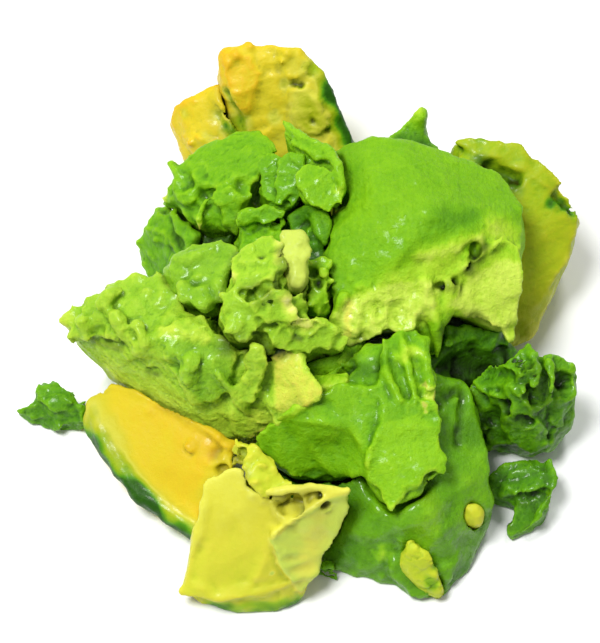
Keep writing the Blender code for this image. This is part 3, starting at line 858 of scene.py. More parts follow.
@dataclass
class Chunk:
    """One torn chunk of the fruit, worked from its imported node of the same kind.

    Sizes are in millimetres, and places are in percent of its box. Ripe is its depth under the skin, from 0
    at the skin to 1 at the pit, and slope is how that grows over its box along x, y and z.
    """

    node: str
    flesh: Flesh
    ripe: float
    slope: Share = (0, 0, 0)
    voxel: float = 0.55
    relax: int = 2
    swell: float = 0.25
    fray: float = 0.25
    wet: float = 0.3
    # painted light: how much ridges are lightened and hollows darkened through the ripe mark
    painted_ridge_light: float = 0.12
    lip: float = 1.2
    undercut: float = 1.4
    seam: int = 12
    sink: float = 0.0
    # how much painted shade falls on the flesh where it meets another chunk
    contact_shade: float = 0.75
    strands: tuple[Strand, ...] = ()
    crumbs: tuple[Crumbs, ...] = ()
    coarse: tuple[Texture, ...] = ()
    fine: tuple[Texture, ...] = ()
    plates: tuple[Plate, ...] = ()
    leaves: tuple[Leaf, ...] = ()
    dabs: tuple[Dab, ...] = ()
    draws: np.random.Generator = field(init=False, repr=False)

    SEAM_FLAKE = (0.7, 1.7)
    LEAF_STEP = 1.3
    FLAKE_DEPTH = 1.2

    def build(self, seed: int, others: BVHTree) -> bpy.types.Object:
        """Makes the chunk's finished mesh.

        Args:
            seed: The chunk's own random seed.
            others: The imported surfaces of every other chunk.

        Returns:
            The piece.
        """
        box = Box.of(self.node)
        self.draws = np.random.default_rng(seed)
        noise = Noise(seed)
        form = self.gathered(box, others)
        mesh = bpy.data.meshes.new(self.node)
        form.to_mesh(mesh)
        form.free()
        clay = Clay(remeshed(mesh, self.voxel * COARSE), box, noise)
        self.work(clay)
        clay = Clay(largest_body(remeshed(clay.mesh, self.voxel)), box, noise)
        self.finish(clay)
        self.mark(clay, others)
        piece = bpy.data.objects.new(self.node + "_flesh", clay.mesh)
        bpy.context.scene.collection.objects.link(piece)
        piece.data.shade_smooth()
        return piece

    def work(self, clay: Clay) -> None:
        """Gives the flesh its broad shape: hills, layers, dents and torn lips.

        Args:
            clay: The flesh, as it was gathered.
        """
        clay.relax(self.relax)
        clay.points += clay.normals() * self.swell
        for texture in self.coarse:
            clay.lay(texture)
        for plate in self.plates:
            clay.raise_plate(plate)
        for dab in self.dabs:
            clay.press(dab)
        clay.undercut(self.lip, self.undercut)
        clay.fray(self.fray, TONGUE)
        clay.relax(1)
        clay.store()

    def finish(self, clay: Clay) -> None:
        """Gives the flesh its fine grain, and keeps it near the heap's box and on the floor.

        Args:
            clay: The worked flesh under its last skin.
        """
        for texture in self.fine:
            clay.lay(texture)
        clay.fray(self.fray * FINE_FRAY, FINE_TONGUE)
        low, high = (np.array(corner) / MM for corner in PACKED_BOX)
        clay.points = np.clip(clay.points, low - [BOX_MARGIN, BOX_MARGIN, 0], high + TOP_MARGIN)
        clay.store()

    def gathered(self, box: Box, others: BVHTree) -> bmesh.types.BMesh:
        """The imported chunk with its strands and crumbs, as closed shapes that run into each other.

        Args:
            box: The chunk's box.
            others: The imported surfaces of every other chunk.

        Returns:
            The shapes, in metres.
        """
        form = bmesh.new()
        form.from_mesh(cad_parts[self.node].data)
        bmesh.ops.remove_doubles(form, verts=form.verts, dist=DOUBLES * MM)
        form.normal_update()
        self.sink_skin(form)
        skin = list(form.faces)
        seam = [face for face in skin if self.at_seam(face, others)]
        if seam and self.seam:
            flakes = Crumbs(self.seam, self.SEAM_FLAKE, bit=Bit.FLAKE, lean=1.0)
            self.scatter(form, seam, flakes, box)
        for crumbs in self.crumbs:
            self.scatter(form, skin, crumbs, box)
        for strand in self.strands:
            self.draw_out(form, strand, box)
        for leaf in self.leaves:
            self.tear_leaf(form, leaf, box)
        return form

    def sink_skin(self, form: bmesh.types.BMesh) -> None:
        """Draws the skin in, most where it looks up, so that torn layers stand out of it.

        Args:
            form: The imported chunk's copy.
        """
        moves = [vert.normal * self.sink * (0.45 + 0.55 * max(vert.normal.z, 0)) * MM for vert in form.verts]
        for vert, move in zip(form.verts, moves):
            vert.co -= move

    @staticmethod
    def at_seam(face: bmesh.types.BMFace, others: BVHTree) -> bool:
        """Whether a face doesn't look down and lies close to another chunk."""
        middle = face.calc_center_median()
        return face.normal.z > -0.1 and others.find_nearest(middle, SEAM_REACH * MM)[0] is not None

    def scatter(self, form: bmesh.types.BMesh, skin: list, crumbs: Crumbs, box: Box) -> None:
        """Sticks crumbs on the chunk's skin.

        Args:
            form: What they are added to.
            skin: The faces that they may lie on.
            crumbs: How many, how large and where.
            box: The chunk's box.
        """
        centres = np.array([face.calc_center_median() for face in skin]) / MM
        upward = np.array([face.normal.z for face in skin])
        weight = np.array([face.calc_area() for face in skin]) * (upward > crumbs.over)
        if crumbs.around is not None:
            start = box.place(crumbs.around)
            end = start if crumbs.to is None else box.place(crumbs.to)
            weight = weight * fade(gap_to_stroke(centres, start, end), crumbs.reach * 1.4)
        if weight.sum() <= 0:
            LOG.warning("%s has no place for its crumbs", self.node)
            return
        for index in self.draws.choice(len(skin), crumbs.count, p=weight / weight.sum()):
            self.stick(form, skin[index], crumbs)

    def stick(self, form: bmesh.types.BMesh, face: bmesh.types.BMFace, crumbs: Crumbs) -> None:
        """Sticks one crumb on a face, at a random place, size and tilt.

        Args:
            form: What it is added to.
            face: The face that it lies on.
            crumbs: What kind it is.
        """
        corners = [vert.co for vert in face.verts]
        shares = self.draws.dirichlet((1, 1, 1))
        spot = sum((corner * float(share) for corner, share in zip(corners, shares)), Vector())
        smallest, largest = crumbs.size
        radius = smallest + (largest - smallest) * self.draws.random() ** 2
        up = face.normal + Vector(self.draws.normal(size=3)) * crumbs.lean
        length = radius * (1 + 0.7 * self.draws.random())
        turn = up.to_track_quat("Z", "Y").to_matrix().to_4x4()
        twist = Matrix.Rotation(self.draws.random() * math.tau, 4, "Z")
        scaled = Matrix.Diagonal((length * MM, radius * MM, radius * crumbs.FLATNESS * MM, 1))
        lifted = Matrix.Translation(spot + face.normal * radius * crumbs.STAND * MM)
        place = lifted @ turn @ twist @ scaled
        if crumbs.bit is Bit.CURD:
            bmesh.ops.create_icosphere(form, subdivisions=1, radius=1, matrix=place)
            return
        sides = int(self.draws.integers(*crumbs.SIDES))
        top = float(self.draws.uniform(0.6, 1.0))
        made = bmesh.ops.create_cone(form, cap_ends=True, segments=sides, radius1=1, radius2=top,
                                     depth=self.FLAKE_DEPTH, matrix=place)
        for vert in made["verts"]:
            vert.co += Vector(self.draws.normal(size=3)) * radius * crumbs.DENT * MM

    def tear_leaf(self, form: bmesh.types.BMesh, leaf: Leaf, box: Box) -> None:
        """Adds a thin flake with a torn edge.

        Args:
            form: What it is added to.
            leaf: Its outline and thickness.
            box: The chunk's box.
        """
        stops = [box.place(share) for share in leaf.outline]
        rim = []
        for first, second in zip(stops, stops[1:] + stops[:1]):
            parts = max(1, int(np.linalg.norm(second - first) / self.LEAF_STEP))
            for part in range(parts):
                spot = first + (second - first) * part / parts
                torn = self.draws.normal(size=3) * leaf.jag * (part > 0)
                rim.append(form.verts.new(Vector(spot + torn) * MM))
        face = bmesh.ops.contextual_create(form, geom=rim)["faces"]
        top = bmesh.ops.triangulate(form, faces=face)["faces"]
        out = sum((piece.normal * piece.calc_area() for piece in top), Vector()).normalized()
        if out.dot(Vector(FACING)) < 0:
            out.negate()
        under = bmesh.ops.extrude_face_region(form, geom=top)["geom"]
        moved = [item for item in under if isinstance(item, bmesh.types.BMVert)]
        bmesh.ops.translate(form, verts=moved, vec=-out * leaf.thick * MM)

    def draw_out(self, form: bmesh.types.BMesh, strand: Strand, box: Box) -> None:
        """Draws a strand out along its path.

        Args:
            form: What it is added to.
            strand: The path and its girth.
            box: The chunk's box.
        """
        stops = [box.place(share) for share in strand.path]
        lengths = [0.0]
        for first, second in zip(stops, stops[1:]):
            lengths.append(lengths[-1] + float(np.linalg.norm(second - first)))
        count = max(2, int(lengths[-1] / (0.45 * max(min(strand.girth), 0.5))))
        turn = Matrix.Rotation(math.pi, 4, "Z")
        for along in np.linspace(0, lengths[-1], count):
            centre = [np.interp(along, lengths, [stop[axis] for stop in stops]) for axis in range(3)]
            share = np.linspace(0, lengths[-1], len(strand.girth))
            radius = float(np.interp(along, share, strand.girth)) * (0.9 + 0.2 * self.draws.random())
            scaled = Matrix.Diagonal((radius * MM, radius * MM, radius * MM, 1))
            moved = Matrix.Translation(Vector(centre) * MM)
            bmesh.ops.create_icosphere(form, subdivisions=2, radius=1, matrix=moved @ turn @ scaled)

    def mark(self, clay: Clay, others: BVHTree) -> None:
        """Marks the finished flesh for its finish to read.

        Args:
            clay: The finished mesh.
            others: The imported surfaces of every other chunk.
        """
        shares = (clay.points - clay.box.low) / clay.box.size
        sharp = clay.bulge(4) / 0.14
        broad = clay.bulge(30) / 0.7
        ripe = self.ripe + (shares - 0.5) @ np.array(self.slope)
        # painted light and shade: ridges lightened, hollows darkened
        ripe += self.painted_ridge_light * (np.clip(sharp, -1, 1) * 0.5 + np.clip(broad, -1, 1) * 0.5)
        # painted shade in creases and broad hollows
        shade = 0.2 * np.clip(-sharp - 0.2, 0, 1) + 0.45 * np.clip(-broad - 0.15, 0, 1)
        wet = np.full(len(ripe), self.wet)
        # painted shade along the seams between chunks, broken into patches
        patchy = np.clip(0.45 + 0.9 * clay.noise.swell(clay.points / 7 + 2.2), 0, 1)
        shade += self.contact_shade * self.touching(clay, others) * patchy
        # the dabs' shade is painted shade in pits and recesses, save on the few that brown the flesh
        for dab in self.dabs:
            felt = clay.weight(dab, 0.6 * abs(dab.lift))
            ripe += felt * dab.ripe
            shade += felt * dab.shade
            wet += felt * dab.wet
        for plate in self.plates:
            felt = clay.cover(plate, max(plate.soft, 1.2))
            ripe += felt * plate.ripe
            wet += felt * plate.wet
        for mark, values in ((Mark.RIPE, ripe), (Mark.SHADE, shade), (Mark.WET, wet)):
            layer = clay.mesh.attributes.new(mark.value, "FLOAT", "POINT")
            layer.data.foreach_set("value", np.clip(values, 0, 1).astype(np.float32))

    @staticmethod
    def touching(clay: Clay, others: BVHTree) -> Array:
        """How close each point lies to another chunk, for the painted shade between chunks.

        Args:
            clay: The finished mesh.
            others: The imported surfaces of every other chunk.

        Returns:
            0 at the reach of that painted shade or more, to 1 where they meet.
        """
        reach = CONTACT_REACH * MM
        gaps = [others.find_nearest(vert.co, reach)[3] for vert in clay.mesh.vertices]
        near = np.array([reach if gap is None else gap for gap in gaps]) / reach
        return (1 - near) ** 2

    def dress(self, piece: bpy.types.Object, material: bpy.types.Material) -> None:
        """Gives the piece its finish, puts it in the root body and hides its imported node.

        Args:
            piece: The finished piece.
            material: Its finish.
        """
        piece.data.materials.clear()
        piece.data.materials.append(material)
        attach(piece, BODY)
        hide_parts(self.node)


# ---- Finishes ----

GREEN = Flesh(
    slot="green_flesh",
    stops=((0.0, (20, 44, 2)), (0.13, (44, 84, 4)), (0.26, (72, 132, 6)), (0.40, (106, 168, 9)),
           (0.55, (138, 194, 16)), (0.66, (172, 212, 44)), (0.78, (202, 226, 84)),
           (0.9, (222, 226, 88)), (1.0, (226, 206, 84))),
    dark=(9, 19, 1), mottle=0.18, speckle=0.10, roughness=0.48, coat=0.5, grain=0.5, fibre=0.04,
)
MASHED = Flesh(
    slot="mashed_flesh",
    stops=((0.0, (38, 80, 5)), (0.2, (92, 152, 14)), (0.42, (140, 190, 34)), (0.60, (174, 210, 52)),
           (0.78, (200, 222, 66)), (0.9, (214, 214, 76)), (1.0, (220, 200, 72))),
    dark=(18, 38, 3), mottle=0.24, speckle=0.10, roughness=0.46, coat=0.5, grain=0.5, fibre=0.05,
)
CURD = Flesh(
    slot="curd_flesh",
    stops=((0.0, (34, 72, 5)), (0.25, (100, 158, 16)), (0.5, (156, 202, 40)), (0.7, (196, 222, 70)),
           (0.85, (222, 230, 108)), (1.0, (236, 236, 154))),
    dark=(18, 36, 3), mottle=0.22, speckle=0.10, roughness=0.46, coat=0.5, grain=0.5, fibre=0.04,
)
PALE = Flesh(
    slot="pale_flesh",
    stops=((0.0, (80, 140, 10)), (0.25, (146, 188, 28)), (0.5, (194, 206, 46)), (0.63, (212, 208, 58)),
           (0.76, (218, 218, 84)), (0.90, (196, 214, 84)), (1.0, (188, 206, 82))),
    dark=(66, 70, 8), mottle=0.12, speckle=0.05, roughness=0.45, coat=0.4, grain=0.14, fibre=0.04,
)
PIT_SIDE = Flesh(
    slot="pit_side_flesh",
    stops=((0.0, (36, 84, 5)), (0.14, (78, 142, 10)), (0.3, (146, 176, 18)), (0.44, (172, 182, 26)),
           (0.58, (208, 204, 66)), (0.72, (206, 194, 40)), (0.86, (218, 196, 34)), (1.0, (224, 180, 28))),
    dark=(48, 46, 5), mottle=0.14, speckle=0.06, roughness=0.45, coat=0.4, grain=0.18, fibre=0.03,
)

SOFT_HILLS = Texture(Pattern.SWELL, (13, 13, 13), 0.7)
SMALL_HILLS = Texture(Pattern.SWELL, (4.5, 4.5, 4.5), 0.2)
LUMPS = Texture(Pattern.SWELL, (6, 6, 6), 0.6, warp=0.7)
TORN = Texture(Pattern.CHIP, (8, 8, 4.5), 0.4, warp=0.6)
FINE_TORN = Texture(Pattern.CHIP, (2.8, 2.8, 1.8), 0.09, warp=0.7)
GRAIN = Texture(Pattern.CHIP, (1.5, 1.5, 1.2), 0.06, warp=0.5)


# ---- Building ----


class Heap:
    """What the groups share while they are built: packed skins, materials and the next seed."""

    def __init__(self) -> None:
        """Takes the points and faces of every packed chunk."""
        self.seed = FIRST_SEED
        self.materials: dict[str, bpy.types.Material] = {}
        self.skins: dict[str, tuple[list, list]] = {}
        for name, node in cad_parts.items():
            verts = [vert.co.copy() for vert in node.data.vertices]
            faces = [tuple(face.vertices) for face in node.data.polygons]
            self.skins[name] = (verts, faces)

    def around(self, name: str) -> BVHTree:
        """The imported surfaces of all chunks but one.

        Args:
            name: The chunk left out.

        Returns:
            A tree to look them up in.
        """
        verts, faces = [], []
        for other, (points, corners) in self.skins.items():
            if other != name:
                faces += [tuple(index + len(verts) for index in face) for face in corners]
                verts += points
        return BVHTree.FromPolygons(verts, faces)

    def add(self, chunk: Chunk) -> bpy.types.Object:
        """Builds and dresses one chunk.

        Args:
            chunk: What to build.

        Returns:
            The worked piece.
        """
        piece = chunk.build(self.seed, self.around(chunk.node))
        self.seed += 1
        slot = chunk.flesh.slot
        if slot not in self.materials:
            self.materials[slot] = chunk.flesh.material()
        chunk.dress(piece, self.materials[slot])
        return piece


class Group:
    """Chunks that lie together in the heap.

    A group's own fields are how thick its torn layers are, or how high its torn steps stand, in
    millimetres.
    """

    def chunks(self) -> Iterator[Chunk]:
        """Its chunks, in order."""
        raise NotImplementedError

    def build(self, heap: Heap) -> None:
        """Builds and dresses its chunks.

        Args:
            heap: What the groups share.
        """
        for chunk in self.chunks():
            piece = heap.add(chunk)
            LOG.info("%s: %s with %d faces", type(self).__name__, piece.name, len(piece.data.polygons))


# ---- The heap, group by group ----


@dataclass
class BackPieces(Group):
    """The two yellow wedges and the tip behind."""

    low_step: float = 0.9
    step: float = 1.2
    high_step: float = 1.3

    def chunks(self) -> Iterator[Chunk]:
        """Its chunks, in order."""
        yield self.back_wedge()
        yield self.left_wedge()
        yield self.back_tip()

    def back_wedge(self) -> Chunk:
        """The larger yellow wedge, green along its skin side."""
        return Chunk(
            "back_wedge", PIT_SIDE, 0.7, slope=(-0.25, 0.1, 0.1), fray=0.2, wet=0.25, undercut=0.7,
            crumbs=(
                Crumbs(8, (0.7, 1.7), over=0.1, bit=Bit.FLAKE),
                Crumbs(12, (0.6, 1.5), around=(10, 80, 96), to=(60, 80, 100), reach=4, bit=Bit.FLAKE),
            ),
            coarse=(SOFT_HILLS, Texture(Pattern.CHIP, (12, 12, 7), 0.35, warp=0.5)),
            fine=(SMALL_HILLS, Texture(Pattern.CHIP, (3, 3, 3), 0.08, warp=0.6), GRAIN),
            plates=(
                Plate(((52, 59, 83), (63, 60, 85), (75, 53, 79), (82, 41, 65), (72, 36, 61), (59, 38, 61),
                       (54, 45, 68)), height=self.high_step, ripe=-0.2),
                Plate(((44, 80, 100), (59, 80, 101), (68, 72, 96), (63, 64, 90), (52, 63, 87),
                       (45, 69, 92)), height=self.step, ripe=-0.06),
                Plate(((2, 80, 97), (24, 76, 96), (32, 67, 88), (27, 51, 70), (16, 50, 62), (8, 62, 78)),
                       height=self.low_step, ripe=0.08),
            ),
            dabs=(
                Dab((74, 70, 93), 6, ripe=-0.4, to=(95, 42, 60)),
                Dab((87, 62, 80), 6, ripe=-0.45, to=(98, 35, 50)),
                Dab((55, 61, 86), 1.3, lift=-1.0, shade=0.4, ripe=-0.2, to=(60, 60, 86)),
                Dab((48, 61, 85), 2.4, lift=-0.4, ripe=-0.22),
                Dab((41, 47, 68), 2.6, lift=-0.5, ripe=-0.22),
                Dab((69, 44, 69), 1.0, lift=-0.8, shade=0.5, to=(79, 40, 64)),
                Dab((10, 60, 75), 2.6, lift=-1.4, ripe=-0.5, shade=0.2, to=(14, 45, 60)),
                Dab((5, 50, 50), 6, ripe=-0.5),
            ),
        )

    def left_wedge(self) -> Chunk:
        """The smaller yellow wedge at its left."""
        return Chunk(
            "left_wedge", PIT_SIDE, 0.78, slope=(-0.2, 0.0, 0.1), undercut=0.7,
            crumbs=(Crumbs(8, (0.6, 1.5), over=0.0, bit=Bit.FLAKE),),
            coarse=(SOFT_HILLS, Texture(Pattern.CHIP, (9, 9, 6), 0.35, warp=0.5)),
            fine=(SMALL_HILLS, FINE_TORN, GRAIN),
            dabs=(
                Dab((22, 54, 76), 2.4, lift=-0.3, ripe=-0.25),
                Dab((64, 47, 85), 3.0, lift=-0.3, ripe=-0.25),
                Dab((83, 34, 80), 3.5, lift=-0.8, ripe=-0.6, shade=0.3, to=(97, 60, 80)),
                Dab((48, 30, 70), 3.0, lift=0.5, ripe=-0.2),
                Dab((62, 62, 95), 2.2, lift=0.6, ripe=-0.1, to=(75, 30, 85)),
            ),
        )

    def back_tip(self) -> Chunk:
        """The stub that stands up behind the dome."""
        return Chunk(
            "back_tip", GREEN, 0.36, slope=(0.0, 0.1, 0.1), fray=0.3,
            crumbs=(Crumbs(10, (0.6, 1.5), bit=Bit.FLAKE),),
            coarse=(TORN,),
            fine=(FINE_TORN, GRAIN),
            dabs=(
                Dab((49, 60, 94), 2.4, ripe=0.12, to=(60, 80, 99)),
                Dab((50, 40, 50), 16, shade=0.42),
                Dab((71, 25, 80), 4.0, lift=-0.5, ripe=-0.15, shade=0.2, to=(30, 30, 80)),
            ),
        )


@dataclass
class UpperPieces(Group):
    """The green lobe above the mash, its petals and the flake beside them."""

    wisp: float = 1.5
    thin_layer: float = 1.7
    layer: float = 1.9
    thick_layer: float = 2.0
    crust: float = 2.4

    def chunks(self) -> Iterator[Chunk]:
        """Its chunks, in order."""
        yield self.upper_lobe()
        yield self.folded_petal()
        yield self.ragged_flake()
        yield self.under_lobe()
        yield self.left_lump()

    def upper_lobe(self) -> Chunk:
        """The lobe with a flat torn top and a crumbled front."""
        return Chunk(
            "upper_lobe", GREEN, 0.42, sink=1.3, swell=0.15, relax=1, wet=0.3, lip=1.6,
            crumbs=(
                Crumbs(30, (0.6, 1.5), around=(12, 65, 80), to=(28, 15, 80), reach=5, lean=0.9),
                Crumbs(12, (0.7, 1.7), around=(40, 12, 80), to=(85, 10, 85), reach=5, bit=Bit.FLAKE,
                       lean=0.9),
                Crumbs(14, (0.7, 1.7), over=0.3, bit=Bit.FLAKE),
            ),
            strands=(
                Strand(((43, 23, 90), (39, 16, 86), (37, 8, 80), (37, 5, 76)), (1.1, 1.1, 1.6, 1.4)),
                Strand(((14, 62, 84), (18, 52, 86), (22, 42, 84)), (1.3, 1.0, 1.3)),
            ),
            leaves=(
                Leaf(((26, 67, 87), (39, 80, 88), (60, 86, 91), (80, 89, 94), (97, 66, 99), (87, 47, 102),
                      (82, 33, 98), (69, 37, 101), (54, 31, 96), (36, 37, 91), (29, 50, 90)), self.crust,
                      jag=0.5),
                Leaf(((47, 26, 94), (62, 27, 100), (72, 17, 98), (71, 7, 90), (66, -5, 80), (59, 1, 84),
                      (52, 9, 89)), self.wisp, jag=0.4),
                Leaf(((15, 64, 83), (29, 60, 90), (35, 44, 91), (34, 24, 86), (24, 24, 83), (14, 39, 83)),
                      self.thin_layer, jag=0.5),
            ),
            coarse=(Texture(Pattern.SWELL, (9, 9, 9), 0.5, warp=0.6),),
            fine=(
                SMALL_HILLS, FINE_TORN, GRAIN,
                Texture(Pattern.SWELL, (10, 2.4, 3), 0.16, Where.TOPS, turn=(0, 0, 35)),
            ),
            dabs=(
                Dab((16, 59, 82), 2.0, lift=0.3, ripe=0.3),
                Dab((21, 44, 82), 1.8, lift=0.3, ripe=0.22),
                Dab((37, 10, 81), 1.8, lift=0.2, ripe=0.45, to=(37, 5, 78)),
                Dab((5, 41, 73), 2.6, ripe=0.4),
                Dab((50, 33, 93), 2.0, ripe=0.12, to=(80, 36, 97)),
                Dab((75, 22, 90), 2.2, lift=-2.0, shade=0.5, to=(90, 20, 85)),
                Dab((49, 0, 40), 7, lift=-1.0, shade=0.5, to=(10, 10, 40)),
            ),
        )

    def folded_petal(self) -> Chunk:
        """Three thin petals, folded one behind the other."""
        return Chunk(
            "folded_petal", GREEN, 0.38, voxel=0.38, sink=1.2, swell=0.15, relax=1, fray=0.2, wet=0.4,
            seam=8,
            leaves=(
                Leaf(((4, 85, 90), (33, 92, 97), (57, 81, 100), (66, 60, 95), (57, 34, 87), (41, 12, 79),
                      (20, 16, 76), (4, 50, 80)), self.thick_layer, jag=0.35),
                Leaf(((41, 72, 104), (68, 86, 109), (91, 80, 111), (91, 52, 104), (74, 24, 95),
                      (54, 3, 85), (36, 8, 84)), self.layer, jag=0.35),
                Leaf(((69, 78, 113), (95, 78, 118), (100, 45, 106), (82, 6, 84), (64, 0, 78),
                      (68, 30, 97)), self.layer, jag=0.35),
            ),
            fine=(SMALL_HILLS, FINE_TORN, GRAIN),
            dabs=(
                Dab((80, 40, 95), 2.6, ripe=-0.08, to=(78, 15, 80)),
                Dab((8, 20, 60), 3.0, shade=0.5, to=(90, 2, 50)),
            ),
        )

    def ragged_flake(self) -> Chunk:
        """A flake with a long ragged tail along its back."""
        return Chunk(
            "ragged_flake", GREEN, 0.46, voxel=0.38, sink=1.4, swell=0.15, relax=1, wet=0.4, seam=8,
            strands=(
                Strand(((7, 97, 78), (24, 81, 88), (49, 69, 97), (74, 58, 102), (89, 38, 107),
                        (96, 18, 104)), (0.9, 1.4, 1.1, 1.5, 1.3, 0.9)),
                Strand(((20, 72, 82), (50, 58, 94), (78, 45, 100)), (0.9, 1.2, 1.0)),
                Strand(((10, 85, 78), (35, 66, 86), (60, 50, 96)), (0.8, 1.0, 0.9)),
            ),
            crumbs=(Crumbs(18, (0.6, 1.4), around=(30, 75, 85), to=(85, 50, 100), reach=4, lean=0.9),),
            leaves=(
                Leaf(((28, 35, 103), (43, 42, 109), (69, 38, 111), (88, 30, 102), (104, 14, 98),
                      (95, 1, 90), (86, 4, 88), (76, -7, 82), (58, 0, 85), (38, 9, 88), (24, 22, 94)),
                      self.layer, jag=0.4),
            ),
            fine=(SMALL_HILLS, FINE_TORN, GRAIN),
            dabs=(
                Dab((88, 17, 90), 2.0, ripe=0.2, wet=0.5),
                Dab((20, 50, 80), 1.8, shade=0.4, to=(75, 42, 95)),
            ),
        )

    def under_lobe(self) -> Chunk:
        """The small lobe below, with a flat flake on it."""
        return Chunk(
            "under_lobe", GREEN, 0.4, voxel=0.42, sink=1.4, swell=0.15, relax=1, wet=0.4, seam=8,
            leaves=(
                Leaf(((6, 77, 105), (27, 83, 106), (70, 86, 107), (88, 78, 105), (86, 62, 102),
                      (66, 56, 102), (48, 50, 100), (30, 55, 100), (7, 52, 99)), self.thick_layer,
                      jag=0.4),
            ),
            crumbs=(
                Crumbs(12, (0.7, 1.6), around=(10, 50, 90), to=(70, 30, 90), reach=6, bit=Bit.FLAKE),
            ),
            coarse=(TORN,),
            fine=(SMALL_HILLS, FINE_TORN, GRAIN),
            dabs=(Dab((10, 20, 50), 5, lift=-0.5, shade=0.4, to=(90, 20, 50)),),
        )

    def left_lump(self) -> Chunk:
        """The dark lump at the far left."""
        return Chunk(
            "left_lump", GREEN, 0.33, slope=(-0.2, 0, 0.15), fray=0.3,
            crumbs=(Crumbs(14, (0.8, 1.8), bit=Bit.FLAKE, over=0.0),),
            coarse=(LUMPS, TORN),
            fine=(SMALL_HILLS, FINE_TORN, GRAIN),
            dabs=(
                # painted shade over its right side, in the recess beside it
                Dab((95, 50, 75), 6, lift=-2.0, shade=0.75, to=(90, 20, 50)),
                Dab((60, 75, 85), 1.5, lift=0.6, ripe=0.15),
            ),
        )


